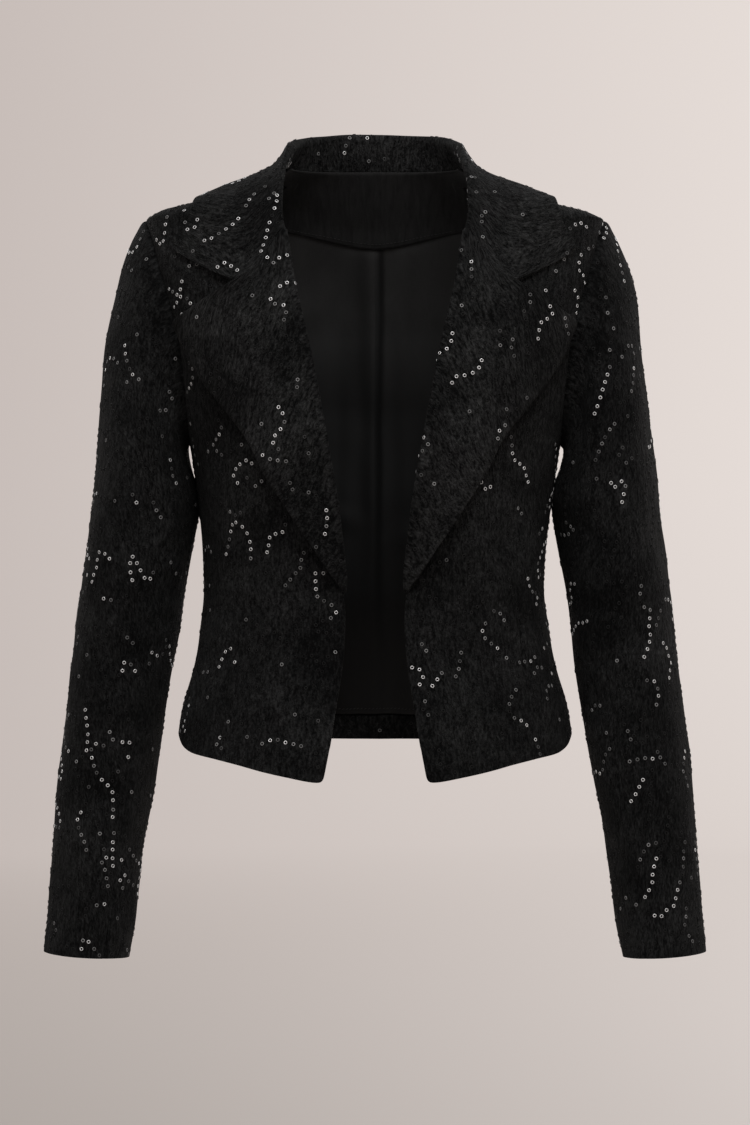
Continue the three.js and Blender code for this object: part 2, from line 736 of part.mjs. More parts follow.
function gridNormals(rows) {
  return rows.map((row, r) =>
    row.map((_, c) => {
      const along = rows[Math.min(r + 1, rows.length - 1)][c].clone().sub(rows[Math.max(r - 1, 0)][c]);
      const across = row[Math.min(c + 1, row.length - 1)].clone().sub(row[Math.max(c - 1, 0)]);
      return along.cross(across).normalize();
    })
  );
}

// The collar, from the gorge on the wearer's left round the back to the right.
function buildCollar(front, back) {
  const neckIds = front.body.slice(gorgeRow).map((row) => row[0]);
  const neck = neckIds.map((id) => front.sheet.points[id]);
  const neckNormals = neckIds.map((id) => front.sheet.normals[id]);
  const topRow = back.rows[back.rows.length - 1];
  for (let c = 1; c <= backCells; c += 1) {
    neck.push(back.sheet.points[topRow[c]]);
    neckNormals.push(back.sheet.normals[topRow[c]]);
  }
  const frontCount = neckIds.length - 1;
  const half = neck.map((place, i) => {
    const at = i <= frontCount ? i / frontCount : 1 + (i - frontCount) / backCells;
    return collarRow(place, neckNormals[i], at);
  });
  const stack = clothHalf - (2 * clothHalf + facingGap + facingThick) / 2;
  const gorge = front.lapel[front.lapel.length - 1];
  const gorgeLine = [...gorge].reverse().slice(0, foldCells + cellsToNotch + 1);
  const tip = half[0][half[0].length - 1];
  const gorgeRowOf = () => {
    const spots = gorgeLine.map((id) =>
      front.sheet.points[id].clone().addScaledVector(front.sheet.normals[id], stack)
    );
    const row = [];
    for (let i = 0; i < standCells; i += 1) row.push(spots[0].clone());
    row.push(...spots);
    for (let i = 1; i <= collarFallCells - cellsToNotch; i += 1) {
      const t = i / (collarFallCells - cellsToNotch);
      const spot = spots[spots.length - 1].clone().lerp(tip, t);
      row.push(liftClear(spot, collarClear + clothHalf + collarHalf));
    }
    return row;
  };
  half[0] = gorgeRowOf();
  const collarNormals = gridNormals(half);
  gorgeLine.forEach((id, i) => {
    const own = front.sheet.normals[id];
    const shared = own.clone().add(collarNormals[0][i + standCells]).normalize();
    if (i > 0) front.sheet.normals[id] = shared.divideScalar(Math.max(0.6, shared.dot(own)));
  });
  half[0] = gorgeRowOf();
  const flip = (place) => point(-place.x, place.y, place.z);
  const rows = [...half, ...half.slice(0, -1).reverse().map((row) => row.map(flip))];
  const normals = gridNormals(rows);
  const last = rows.length - 1;
  gorgeLine.forEach((id, i) => {
    normals[0][i + standCells] = front.sheet.normals[id].clone();
  });
  normals[0][0] = normals[0][standCells].clone();
  normals[last] = normals[0].map(flip);
  const sheet = newSheet();
  const ids = rows.map((row, r) => {
    const isEnd = r === 0 || r === last;
    return row.map((place, c) => {
      if (isEnd && c > 0 && c <= standCells) return null;
      return addPoint(sheet, place, normals[r][c]);
    });
  });
  for (const r of [0, last]) for (let c = 1; c <= standCells; c += 1) ids[r][c] = ids[r][0];
  for (let r = 0; r < last; r += 1) {
    for (let c = 0; c + 1 < rows[r].length; c += 1) {
      sheet.cells.push([ids[r][c], ids[r + 1][c], ids[r + 1][c + 1], ids[r][c + 1]]);
    }
  }
  return { sheet, ids };
}

function mirror(sheet) {
  const flip = (v) => point(-v.x, v.y, v.z);
  return {
    points: sheet.points.map(flip),
    normals: sheet.normals.map(flip),
    inner: [...sheet.inner],
    cells: sheet.cells.map((cell) => [...cell].reverse()),
  };
}

// Where sheets meet, their end faces share one slanting plane.
function meetSheets(sheets) {
  const groups = [];
  for (const sheet of sheets) {
    for (const id of borderOf(sheet)) {
      const place = sheet.points[id];
      let group = groups.find((entry) => entry.place.distanceToSquared(place) < 0.01);
      if (!group) {
        group = { place, entries: [] };
        groups.push(group);
      }
      group.entries.push({ sheet, id, normal: sheet.normals[id] });
    }
  }
  for (const { entries } of groups) {
    if (new Set(entries.map((entry) => entry.sheet)).size < 2) continue;
    const shared = point(0, 0, 0);
    entries.forEach(({ normal }, i) => {
      const known = entries.slice(0, i).some((entry) => entry.normal.dot(normal) > 0.95);
      if (!known) shared.add(normal);
    });
    shared.normalize();
    for (const { sheet, id, normal } of entries) {
      sheet.normals[id] = shared.clone().divideScalar(Math.max(shared.dot(normal), 1 / mitreLimit));
    }
  }
}

// The point numbers along the borders of a sheet.
function borderOf(sheet) {
  const open = new Map();
  for (const [a, b, c, d] of sheet.cells) {
    for (const [p, q] of [[a, b], [b, c], [c, d], [d, a]]) {
      if (p === q) continue;
      if (open.has(q + ":" + p)) open.delete(q + ":" + p);
      else open.set(p + ":" + q, [p, q]);
    }
  }
  return new Set([...open.values()].flat());
}

// An edge line of a sheet is drawn back from its seam, square to the seam.
function drawBack(sheet, edgeLine, besideLine, extra = 0) {
  const done = new Set();
  edgeLine.forEach((id, i) => {
    if (done.has(id)) return;
    done.add(id);
    const way = sheet.before[besideLine[i]].clone().sub(sheet.before[id]);
    const next = sheet.before[edgeLine[Math.min(i + 1, edgeLine.length - 1)]];
    const along = next.clone().sub(sheet.before[edgeLine[Math.max(i - 1, 0)]]).normalize();
    way.addScaledVector(along, -way.dot(along));
    if (way.length() < 1e-4) return;
    const slant = Math.max(1, sheet.normals[id].length());
    sheet.points[id].addScaledVector(way.normalize(), (seamGap / 2) * slant + slantGap * (slant - 1) + extra);
  });
}

const column = (rows, c) => rows.map((row) => row[c < 0 ? row.length + c : c]);

function solid(name, sheet, low, high, colour, roughness) {
  const count = sheet.points.length;
  const places = new Float32Array(count * 6);
  sheet.points.forEach((place, i) => {
    const inside = place.clone().addScaledVector(sheet.normals[i], low(i));
    const outside = place.clone().addScaledVector(sheet.normals[i], high(i));
    inside.toArray(places, i * 3);
    outside.toArray(places, (count + i) * 3);
  });
  const faces = [];
  const addFace = (a, b, c) => {
    if (a !== b && b !== c && a !== c) faces.push(a, b, c);
  };
  const borders = new Map();
  const note = (a, b) => {
    if (a === b) return;
    const back = b + ":" + a;
    if (borders.has(back)) borders.delete(back);
    else borders.set(a + ":" + b, [a, b]);
  };
  for (const [a, b, c, d] of sheet.cells) {
    const short = sheet.points[a].distanceTo(sheet.points[c]) <= sheet.points[b].distanceTo(sheet.points[d]);
    const halves = short ? [[a, b, c], [a, c, d]] : [[a, b, d], [b, c, d]];
    for (const [p, q, s] of halves) {
      addFace(count + p, count + q, count + s);
      addFace(p, s, q);
    }
    note(a, b);
    note(b, c);
    note(c, d);
    note(d, a);
  }
  const order = (i) => {
    const place = sheet.points[i];
    return 0.31 * Math.abs(place.x) + 0.53 * place.y + 0.79 * place.z;
  };
  for (const [a, b] of borders.values()) {
    if (order(a) < order(b)) {
      addFace(a, b, count + b);
      addFace(a, count + b, count + a);
    } else {
      addFace(a, b, count + a);
      addFace(b, count + b, count + a);
    }
  }
  const geometry = new THREE.BufferGeometry();
  geometry.setAttribute("position", new THREE.BufferAttribute(places, 3));
  geometry.setIndex(faces);
  geometry.computeVertexNormals();
  const material = new THREE.MeshStandardMaterial({ color: colour, roughness, metalness: 0 });
  const mesh = new THREE.Mesh(geometry, material);
  mesh.name = name;
  return mesh;
}

const front = buildFront();
const back = buildBack();
back.plain = back.sheet.points.map((place) => place.clone());
back.plainNormals = back.sheet.normals.map((normal) => normal.clone());
const collar = buildCollar(front, back);
const wholeSleeve = sleeveRows();
const upper = buildSleevePart(wholeSleeve, frontSeamTurn, backSeamTurn);
const under = buildSleevePart(wholeSleeve, backSeamTurn, frontSeamTurn + wholeTurn);

const rightFront = mirror(front.sheet);
const rightUpper = mirror(upper.sheet);
const rightUnder = mirror(under.sheet);
meetSheets([
  front.sheet,
  rightFront,
  back.sheet,
  collar.sheet,
  upper.sheet,
  under.sheet,
  rightUpper,
  rightUnder,
]);

// Gaps along the seams
for (const sheet of [front.sheet, rightFront]) {
  sheet.before = sheet.points.map((place) => place.clone());
  const side = column(front.body, -1);
  const beside = column(front.body, -2);
  drawBack(sheet, side, beside);
  const neck = column(front.body, 0).slice(gorgeRow + 1);
  drawBack(sheet, neck, column(front.body, 1).slice(gorgeRow + 1), neckEase);
  const topIds = front.lapel[front.lapel.length - 1];
  drawBack(sheet, topIds, front.lapel[front.lapel.length - 2]);
}
back.sheet.before = back.sheet.points.map((place) => place.clone());
drawBack(back.sheet, column(back.rows, 0), column(back.rows, 1));
drawBack(back.sheet, column(back.rows, -1), column(back.rows, -2));
drawBack(back.sheet, back.rows[back.rows.length - 1], back.rows[back.rows.length - 2]);
for (const [part, sheets] of [
  [upper, [upper.sheet, rightUpper]],
  [under, [under.sheet, rightUnder]],
]) {
  for (const sheet of sheets) {
    sheet.before = sheet.points.map((place) => place.clone());
    drawBack(sheet, part.rows[part.rows.length - 1], part.rows[part.rows.length - 2], armholeEase);
    drawBack(sheet, column(part.rows, 0), column(part.rows, 1));
    drawBack(sheet, column(part.rows, -1), column(part.rows, -2));
  }
}
collar.sheet.before = collar.sheet.points.map((place) => place.clone());
drawBack(collar.sheet, column(collar.ids, 0).slice(1, -1), column(collar.ids, 1).slice(1, -1), neckEase);
drawBack(collar.sheet, collar.ids[0], collar.ids[1], gorgeEase);
drawBack(collar.sheet, collar.ids[collar.ids.length - 1], collar.ids[collar.ids.length - 2], gorgeEase);

// The facing follows the lapel, the roll and a strip inside the front edge.
const facingStrip = 2;
const facingLow = -clothHalf - facingGap - facingThick;
const facingHigh = -clothHalf - facingGap;
function buildFacing(sheet) {
  const made = newSheet();
  const known = new Map();
  const numberOf = (id) => {
    if (!known.has(id)) known.set(id, addPoint(made, sheet.points[id].clone(), sheet.normals[id].clone()));
    return known.get(id);
  };
  for (let r = hemRows; r < gorgeRow; r += 1) {
    for (let c = 0; c < facingStrip; c += 1) {
      const ids = [front.body[r][c], front.body[r][c + 1], front.body[r + 1][c + 1], front.body[r + 1][c]];
      made.cells.push(ids.map(numberOf));
    }
  }
  for (let r = 0; r + 1 < front.lapel.length; r += 1) {
    for (let c = 0; c + 1 < front.lapel[r].length; c += 1) {
      const low = front.lapel[r];
      const high = front.lapel[r + 1];
      made.cells.push([low[c], low[c + 1], high[c + 1], high[c]].map(numberOf));
    }
  }
  return made;
}
const facing = buildFacing(front.sheet);
const rightFacing = mirror(facing);

// Lining of the back and the band inside the back neck lie on the back panel's own faces.
const insideClear = clothHalf + layerGap + liningEase;
const backColumns = 2 * backCells;

// A spot of the back panel on one of its columns at a height.
function backSpot(c, z) {
  let r = 0;
  while (r < back.rows.length - 2 && back.plain[back.rows[r + 1][c]].z < z) r += 1;
  const low = back.rows[r][c];
  const high = back.rows[r + 1][c];
  const t = (z - back.plain[low].z) / (back.plain[high].z - back.plain[low].z);
  return {
    place: back.plain[low].clone().lerp(back.plain[high], t),
    normal: back.plainNormals[low].clone().lerp(back.plainNormals[high], t).normalize(),
  };
}

const neckLowAt = (c) => {
  const share = Math.abs(backSpot(c, shoulderZ).place.x) / shoulderRow.half;
  return mix(neckFacingLow.centreZ, neckFacingLow.sideZ, share ** neckFacingLow.power);
};

function insideRow(zAt, pleat, sink = 0) {
  const row = [];
  for (let c = 0; c <= backColumns; c += 1) {
    const { place, normal } = backSpot(c, zAt(c));
    place.addScaledVector(normal, c === backCells ? -pleat - sink : -sink);
    row.push({ place, normal });
  }
  for (const [end, beside] of [[0, 1], [backColumns, backColumns - 1]]) {
    const share = insideInset / row[end].place.distanceTo(row[beside].place);
    row[end].place.lerp(row[beside].place, share);
    row[end].normal.lerp(row[beside].normal, share).normalize();
  }
  return row;
}

function sheetOf(rows) {
  const sheet = newSheet();
  const ids = rows.map((row) => row.map(({ place, normal }) => addPoint(sheet, place, normal)));
  addCells(sheet, ids);
  return sheet;
}

const liningLowZ = -467;
const liningRows = [insideRow(() => liningLowZ, pleatDeep)];
for (let r = hemRows + 1; bodyRows[r] < liningUnderZ; r += 1) {
  liningRows.push(insideRow(() => bodyRows[r], pleatDeep));
}
liningRows.push(insideRow((c) => mix(bodyRows[gorgeRow], neckLowAt(c), 0.5), pleatDeep, topSink));
liningRows.push(insideRow((c) => neckLowAt(c) - seamGap, pleatDeep / 2, topSink / 2));
const lining = sheetOf(liningRows);
const neckBandRows = [];
for (const share of [0, 0.35, 0.7, 1]) {
  neckBandRows.push(insideRow((c) => mix(neckLowAt(c) + seamGap, neckBandTopZ, share), 0));
}
const neckBand = sheetOf(neckBandRows);

const same = (value) => () => value;
const cloth = (name, sheet) =>
  solid(name, sheet, (i) => -clothHalf * sheet.inner[i], same(clothHalf), black, 0.85);
const innerLayer = (name, sheet, colour, roughness) =>
  solid(name, sheet, same(-insideClear - liningThick), same(-insideClear), colour, roughness);

const group = new THREE.Group();
group.add(
  cloth("back", back.sheet),
  cloth("front_left", front.sheet),
  cloth("front_right", rightFront),
  solid("facing_left", facing, same(facingLow), same(facingHigh), black, 0.85),
  solid("facing_right", rightFacing, same(facingLow), same(facingHigh), black, 0.85),
  solid("collar", collar.sheet, same(-collarHalf), same(collarHalf), black, 0.85),
  innerLayer("neck_facing", neckBand, black, 0.8),
  innerLayer("lining_back", lining, satinBlack, 0.5),
  cloth("sleeve_upper_left", upper.sheet),
  cloth("sleeve_upper_right", rightUpper),
  cloth("sleeve_under_left", under.sheet),
  cloth("sleeve_under_right", rightUnder)
);

export default group;
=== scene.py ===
import math

import bmesh
import bpy
import numpy as np
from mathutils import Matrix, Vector
from mathutils.bvhtree import BVHTree


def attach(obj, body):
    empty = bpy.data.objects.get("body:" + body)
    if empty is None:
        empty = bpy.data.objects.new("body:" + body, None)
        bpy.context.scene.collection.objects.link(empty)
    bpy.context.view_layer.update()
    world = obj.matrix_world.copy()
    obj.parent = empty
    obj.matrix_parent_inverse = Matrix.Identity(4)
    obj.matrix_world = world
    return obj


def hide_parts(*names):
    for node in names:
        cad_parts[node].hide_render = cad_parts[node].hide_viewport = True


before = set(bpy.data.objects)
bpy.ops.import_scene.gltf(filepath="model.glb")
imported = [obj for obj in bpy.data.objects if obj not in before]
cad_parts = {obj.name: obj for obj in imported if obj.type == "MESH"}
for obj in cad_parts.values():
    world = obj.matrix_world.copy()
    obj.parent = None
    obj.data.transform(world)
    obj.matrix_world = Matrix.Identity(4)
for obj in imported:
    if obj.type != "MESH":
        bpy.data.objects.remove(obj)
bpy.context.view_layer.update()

mm = 0.001

# The worn form: level sections as height, half width, depth in front, depth behind, squareness
bodyShape = {
    "sections": [
        (-530, 178, 121, 118, 2.3),
        (-489, 167, 116, 111, 2.3),
        (-461, 162.5, 112, 105, 2.3),
        (-427, 153.5, 107, 96, 2.3),
        (-393, 147.3, 104, 88, 2.3),
        (-361, 144, 104, 84, 2.3),
        (-325, 145, 110, 86, 2.3),
        (-283, 148.8, 119, 92, 2.35),
        (-235, 156.5, 124, 101, 2.4),
        (-197, 164, 121, 106, 2.5),
        (-142, 174.5, 111, 107, 2.75),
        (-112, 182, 103, 103, 2.9),
        (-87, 189, 94, 96, 2.9),
        (-49, 193, 77, 81, 2.9),
    ],
    "neck": (0, 76, 50, 52, 2.3),
    "shoulderSquares": [(-49, 2.9), (-43, 3.5), (-34, 3.7), (-20, 3.2), (0, 2.3)],
    "shoulderZ": -49,
    "underarmZ": -235,
    "armholeFront": 54,
    "armholeBack": 56,
    "clothThick": 1.8,
    "drapeWave": 78,
    "drapeDeep": 0.75,
    "puckerWave": 21,
    "puckerDeep": 0.16,
    "seamDip": 0.75,
    "seamReach": 2.0,
    "dartRidge": 0.35,
    "heldReach": 24,
}
shoulderZ = bodyShape["shoulderZ"]
underarmZ = bodyShape["underarmZ"]
clothThick = bodyShape["clothThick"]
quarterTurn = math.pi / 2
seeds = {
    "drape": 11, "pucker": 12, "sleeveDrape": 21, "sleevePucker": 22,
    "lapel": 31, "neckFacing": 41, "collar": 51, "sequins": 400,
}


def mix(a, b, t):
    return a + (b - a) * t


def smoothStep(low, high, x):
    t = np.clip((x - low) / (high - low), 0, 1)
    return t * t * (3 - 2 * t)


# A soft bump: 1 at its middle, about a third at its width
def bump(away, wide):
    return np.exp(-((away / wide) ** 2))


# Length along a line of points at each of them
def lengthsAlong(line):
    return np.concatenate([[0], np.cumsum(np.linalg.norm(np.diff(line, axis=0), axis=1))])


# Rows of values taken at given lengths along a line
def takenAt(where, lengths, values):
    return np.stack([np.interp(where, lengths, column) for column in values.T], -1)


# A smooth curve through (x, y) rows that never swings past them.
def curveThrough(rows, column=1):
    xs = np.array([row[0] for row in rows], float)
    ys = np.array([row[column] for row in rows], float)
    steps = np.diff(ys) / np.diff(xs)
    slopes = np.concatenate([steps[:1], np.zeros(len(xs) - 2), steps[-1:]])
    before, after = steps[:-1], steps[1:]
    same = before * after > 0
    slopes[1:-1] = np.where(same, 2 * before * after / np.where(same, before + after, 1), 0)

    def at(x):
        held = np.clip(x, xs[0], xs[-1])
        i = np.clip(np.searchsorted(xs, held, side="right") - 1, 0, len(xs) - 2)
        wide = xs[i + 1] - xs[i]
        t = (held - xs[i]) / wide
        rise = t * t * (3 - 2 * t)
        startPull = slopes[i] * t * (1 - t) ** 2 * wide
        endPull = slopes[i + 1] * t * t * (t - 1) * wide
        return ys[i] + (ys[i + 1] - ys[i]) * rise + startPull + endPull

    return at


sectionCurves = [curveThrough(bodyShape["sections"], column) for column in (1, 2, 3, 4)]
shoulderSquare = curveThrough(bodyShape["shoulderSquares"])


# Half width, front depth, back depth and squareness at a height
def sectionAt(z):
    z = np.asarray(z, float)
    below = [curve(z) for curve in sectionCurves]
    t = (z - shoulderZ) / -shoulderZ
    last, neck = bodyShape["sections"][-1], bodyShape["neck"]
    above = [mix(last[i], neck[i], t) for i in (1, 2, 3)] + [shoulderSquare(z)]
    return [np.where(z <= shoulderZ, low, high) for low, high in zip(below, above)]


def asPoints(x, y, z):
    return np.stack(np.broadcast_arrays(x, y, z), -1).astype(float)


def unit(vectors):
    return vectors / np.maximum(np.linalg.norm(vectors, axis=-1, keepdims=True), 1e-9)


# Turn 0 is the centre front, a quarter turn the wearer's left side.
def bodyForm(turn, z):
    half, front, back, square = sectionAt(z)
    across, ahead = np.sin(turn), np.cos(turn)
    reach = np.where(ahead > 0, front, back)
    x = half * np.sign(across) * np.abs(across) ** (2 / square)
    y = -reach * np.sign(ahead) * np.abs(ahead) ** (2 / square)
    return asPoints(x, y, z)


def formNormal(turn, z):
    high = np.minimum(z + 0.4, 0)
    along = bodyForm(turn + 0.004, z) - bodyForm(turn - 0.004, z)
    return unit(np.cross(along, bodyForm(turn, high) - bodyForm(turn, high - 0.8)))


def turnAtOut(out, z):
    half, _, _, square = sectionAt(z)
    return np.arcsin(np.minimum(1, (out / half) ** (square / 2)))


armholeMidZ = (shoulderZ + underarmZ) / 2
armholeTall = (shoulderZ - underarmZ) / 2


# The turn at which a panel ends: the side seam, or the armhole between underarm and shoulder
def outerTurn(z, isFront):
    _, front, back, square = sectionAt(z)
    reach, depth = (bodyShape["armholeFront"], front) if isFront else (bodyShape["armholeBack"], back)
    share = np.clip((z - armholeMidZ) / armholeTall, -1, 1)
    deep = reach * np.sqrt(1 - share * share)
    turn = np.arccos((deep / depth) ** (square / 2))
    return turn if isFront else math.pi - turn


# Soft random waves over points, about 1 high; stretch lengthens them along an axis.
def softWaves(places, seed, wave, stretch=(1, 1, 1), count=26):
    rng = np.random.default_rng(seed)
    ways = unit(rng.normal(size=(count, places.shape[-1])))
    ways = ways * (2 * math.pi / (wave * rng.uniform(0.75, 1.35, (count, 1))))
    ways = ways / np.array(stretch[: places.shape[-1]])
    phases = rng.uniform(0, 2 * math.pi, count)
    return np.cos(places @ ways.T + phases).sum(-1) * math.sqrt(2 / count)


foldLook = {"endShare": 0.15, "endPower": 0.8, "ridge": 0.62}


# Depth of a list of folds: from and to across and up, depth, width, bow. A fold dies out at its
# ends and throws up a low ridge on both sides.
def foldDepth(across, up, folds):
    deep = np.zeros(np.broadcast(across, up).shape)
    for fromAcross, fromUp, toAcross, toUp, depth, wide, bow in folds:
        runAcross, runUp = toAcross - fromAcross, toUp - fromUp
        run = math.hypot(runAcross, runUp)
        share = ((across - fromAcross) * runAcross + (up - fromUp) * runUp) / run**2
        aside = ((across - fromAcross) * runUp - (up - fromUp) * runAcross) / run
        held = np.clip(share, 0, 1)
        aside = aside - bow * np.sin(math.pi * held)
        past = (share - held) * run
        q = (aside**2 + past**2) / wide**2
        fade = mix(foldLook["endShare"], 1, np.sin(math.pi * held) ** foldLook["endPower"])
        deep = deep + depth * fade * np.exp(-q) * (1 - foldLook["ridge"] * q)
    return deep


frontShape = {
    "edge": [
        (-530, 42.5), (-509, 40), (-464, 32.7), (-407, 25.4), (-382, 24.5), (-346, 28), (-292, 34),
        (-235, 43.3), (-178, 54), (-142, 61.8), (-107, 70), (-61.5, 77.5), (-49, 80), (-30, 82),
        (-15, 81), (0, 76),
    ],
    "hemDrop": [
        (0, 29), (45, 27.5), (72, 23), (91, 19), (111, 14), (132, 9.5), (152, 5.5), (161, 0),
        (167, -10),
    ],
    "cornerRound": 5,
    "hemFade": [(-489, 1), (-468, 0.88), (-430, 0.45), (-395, 0.15), (-361, 0)],
    "dart": [(-489, 130), (-414, 121.5), (-350, 117.5), (-248, 125)],
    "dartTopZ": -248,
    "dartDeep": 1.5,
    "dartWide": 1.7,
    "ridgeWide": 7,
    "dartSteps": (-4.5, -1.6, 0, 1.6, 4.5),
    "innerSteps": 22,
    "outerSteps": 10,
    "columnsPastDart": 14,
    "panelShare": 0.72,
    "breakZ": -361,
    "gorgeZ": -61.46,
    # across, height, to across, to height, depth, width, bow
    "foldsLeft": [
        (28, -374, 47, -440, 2.6, 9, 2),
        (128, -300, 66, -352, 2.0, 13, -4),
        (150, -395, 84, -372, 1.7, 12, 3),
        (146, -262, 104, -330, 1.3, 10, 5),
        (140, -430, 96, -404, 1.2, 11, 2),
        (60, -455, 52, -512, 1.3, 12, 3),
        (96, -470, 104, -506, 1.0, 11, -2),
        (150, -220, 118, -262, 1.6, 10, 4),
        (152, -120, 128, -200, 1.4, 12, -4),
    ],
    "foldsRight": [
        (30, -368, 56, -424, 2.2, 10, -3),
        (132, -308, 70, -340, 1.8, 12, 4),
        (152, -382, 92, -366, 1.9, 11, -3),
        (148, -270, 112, -318, 1.2, 10, -4),
        (146, -420, 90, -412, 1.3, 12, 3),
        (54, -448, 46, -508, 1.2, 11, -3),
        (110, -462, 114, -500, 1.1, 12, 2),
        (150, -226, 114, -270, 1.5, 11, 5),
        (156, -112, 130, -190, 1.5, 13, 4),
    ],
}
backShape = {
    "hemDrop": [(0, 1), (90, 0), (135, -3), (158, -7), (167, -10)],
    "dartOut": [(-489, 84), (-361, 72), (-235, 80), (-205, 82)],
    "dartTopZ": -215,
    "halfColumns": 34,
    "dartDeep": 1.3,
    "dartWide": 1.8,
    "ridgeWide": 8,
    "folds": [
        (130, -318, 40, -348, 2.4, 12, 4),
        (-128, -330, -30, -372, 2.6, 12, -4),
        (120, -408, 48, -385, 1.9, 13, 3),
        (-124, -398, -60, -402, 1.6, 12, 3),
        (20, -70, 110, -160, 1.7, 16, 6),
        (-16, -78, -118, -150, 1.8, 16, -6),
        (60, -300, 14, -322, 1.3, 10, 2),
        (-56, -292, -10, -306, 1.4, 11, -3),
        (148, -120, 128, -206, 1.8, 12, 5),
        (-150, -116, -126, -212, 1.7, 12, -5),
        (30, -440, 38, -486, 1.2, 13, 2),
        (-66, -446, -60, -486, 1.3, 14, -2),
        (112, -236, 66, -262, 1.3, 11, 3),
        (-116, -246, -58, -270, 1.2, 10, -4),
    ],
}
breakZ = frontShape["breakZ"]
gorgeZ = frontShape["gorgeZ"]
hemZ = bodyShape["sections"][1][0]
frontEdgeOut = curveThrough(frontShape["edge"])
hemDropAt = curveThrough(frontShape["hemDrop"])
backHemDropAt = curveThrough(backShape["hemDrop"])
hemFadeAt = curveThrough(sorted(frontShape["hemFade"]))
dartOut = curveThrough(sorted(frontShape["dart"]))
backDartOut = curveThrough(sorted(backShape["dartOut"]))


def droppedZ(z, out, isFront):
    fade = np.where(z < breakZ, hemFadeAt(z), 0)
    dropAt = hemDropAt if isFront else backHemDropAt
    return z - dropAt(np.abs(out)) * fade


# The lines where panels are sewn to sleeve, collar and lapel: the drape leaves them in place.
armholeSteps = np.linspace(0, math.pi, 40)
armholeLevels = armholeMidZ - armholeTall * np.cos(armholeSteps)
neckLevels = np.linspace(breakZ, 0, 60)
heldLine = np.concatenate([
    bodyForm(outerTurn(armholeLevels, True), armholeLevels),
    bodyForm(outerTurn(armholeLevels, False), armholeLevels),
    bodyForm(turnAtOut(frontEdgeOut(neckLevels), neckLevels), neckLevels),
    bodyForm(np.linspace(quarterTurn, math.pi, 24), np.zeros(24)),
])


def heldShare(places, line, reach):
    flat = places.reshape(-1, 3)
    near = np.full(len(flat), 1e9)
    for start in range(0, len(line), 24):
        part = line[start : start + 24]
        near = np.minimum(near, np.linalg.norm(flat[:, None] - part[None], axis=-1).min(1))
    return smoothStep(0, reach, near.reshape(places.shape[:-1]))


def onSide(places, side):
    return places * np.array([side, 1, 1])


# A place on the draped body and its normal. It is worked out on the wearer's left;
# side is -1 for a place that is mirrored to the right afterwards.
def drapedBody(turn, z, side=1):
    plain, normal = bodyForm(turn, z), formNormal(turn, z)
    real = onSide(plain, side)
    frontFolds = frontShape["foldsLeft"] if side > 0 else frontShape["foldsRight"]
    inFront = foldDepth(plain[..., 0], plain[..., 2], frontFolds)
    behind = foldDepth(real[..., 0], plain[..., 2], backShape["folds"])
    ahead = np.cos(turn)
    deep = np.where(ahead > 0, inFront, behind) * np.minimum(1, np.abs(ahead) * 3)
    drape = softWaves(real, seeds["drape"], bodyShape["drapeWave"], (1, 1, 1.5))
    pucker = softWaves(real, seeds["pucker"], bodyShape["puckerWave"], (1, 1, 2.4))
    waves = drape * bodyShape["drapeDeep"] + pucker * bodyShape["puckerDeep"]
    folded = np.concatenate([np.abs(plain[..., :1]), plain[..., 1:]], -1)
    held = heldShare(folded, heldLine, bodyShape["heldReach"])
    moved = plain + normal * (waves * held - deep)[..., None]
    return moved, normal


def gridNormals(places):
    along = np.gradient(places, axis=0)
    across = np.gradient(places, axis=1)
    return unit(np.cross(across, along))


# Steps that lie close together beside a seam
seamSteps = (0.0, 1.3, 3.2)


# Places along a length: two close to each end for the seam, the others even.
def evenSteps(count, whole, closeSteps=seamSteps):
    scale = min(1, whole / 30)
    near = [step * scale for step in closeSteps]
    inner = list(np.linspace(near[-1], whole - near[-1], count - 2 * len(near) + 2))
    return near[:-1] + inner + [whole - step for step in reversed(near[:-1])]


# Turns on one level at given lengths from the start turn.
def turnsAlong(startTurn, endTurn, z, lengthsOf):
    turns = np.linspace(startTurn, endTurn, 240)
    line = bodyForm(turns, np.full(len(turns), z))
    lengths = lengthsAlong(line)
    wanted = np.array(lengthsOf(lengths[-1], lambda out: np.interp(out, line[:, 0], lengths)))
    return np.interp(wanted, lengths, turns), wanted, lengths[-1]


def bodyLevels(lowCount):
    low = hemZ + np.array(evenSteps(lowCount, underarmZ - hemZ, (0.0, 1.5, 4.0)))
    middle = armholeMidZ - armholeTall * np.cos(np.radians(np.arange(4, 180, 4)))
    high = np.linspace(shoulderZ, -0.4, 12)
    return np.concatenate([low, middle, high])


def seamDip(distance, deep=bodyShape["seamDip"], reach=bodyShape["seamReach"]):
    return deep * bump(distance, reach)


# A dart sinks in along its line and throws up a low ridge beside it.
def dartGroove(aside, deep, wide, ridgeWide):
    return deep * (bump(aside, wide) - bodyShape["dartRidge"] * bump(aside, ridgeWide))


# Lengths of a front's columns: even to the dart, close beside it, even to the side
def frontLengths(z, whole, lengthAtOut):
    low = min(lengthAtOut(dartOut(min(z, frontShape["dartTopZ"]))), whole - 18)
    lift = np.clip((z - underarmZ) / (shoulderZ - underarmZ), 0, 1)
    dart = mix(low, whole * frontShape["panelShare"], math.sqrt(lift))
    scale = min(1, whole / 60)
    close = [step * scale for step in frontShape["dartSteps"]]
    near = [step * scale for step in seamSteps]
    inner = list(np.linspace(near[-1], dart + close[0], frontShape["innerSteps"]))[1:-1]
    outer = list(np.linspace(dart + close[-1], whole - near[-1], frontShape["outerSteps"]))[1:-1]
    ends = [whole - step for step in reversed(near)]
    return near + inner + [dart + step for step in close] + outer + ends


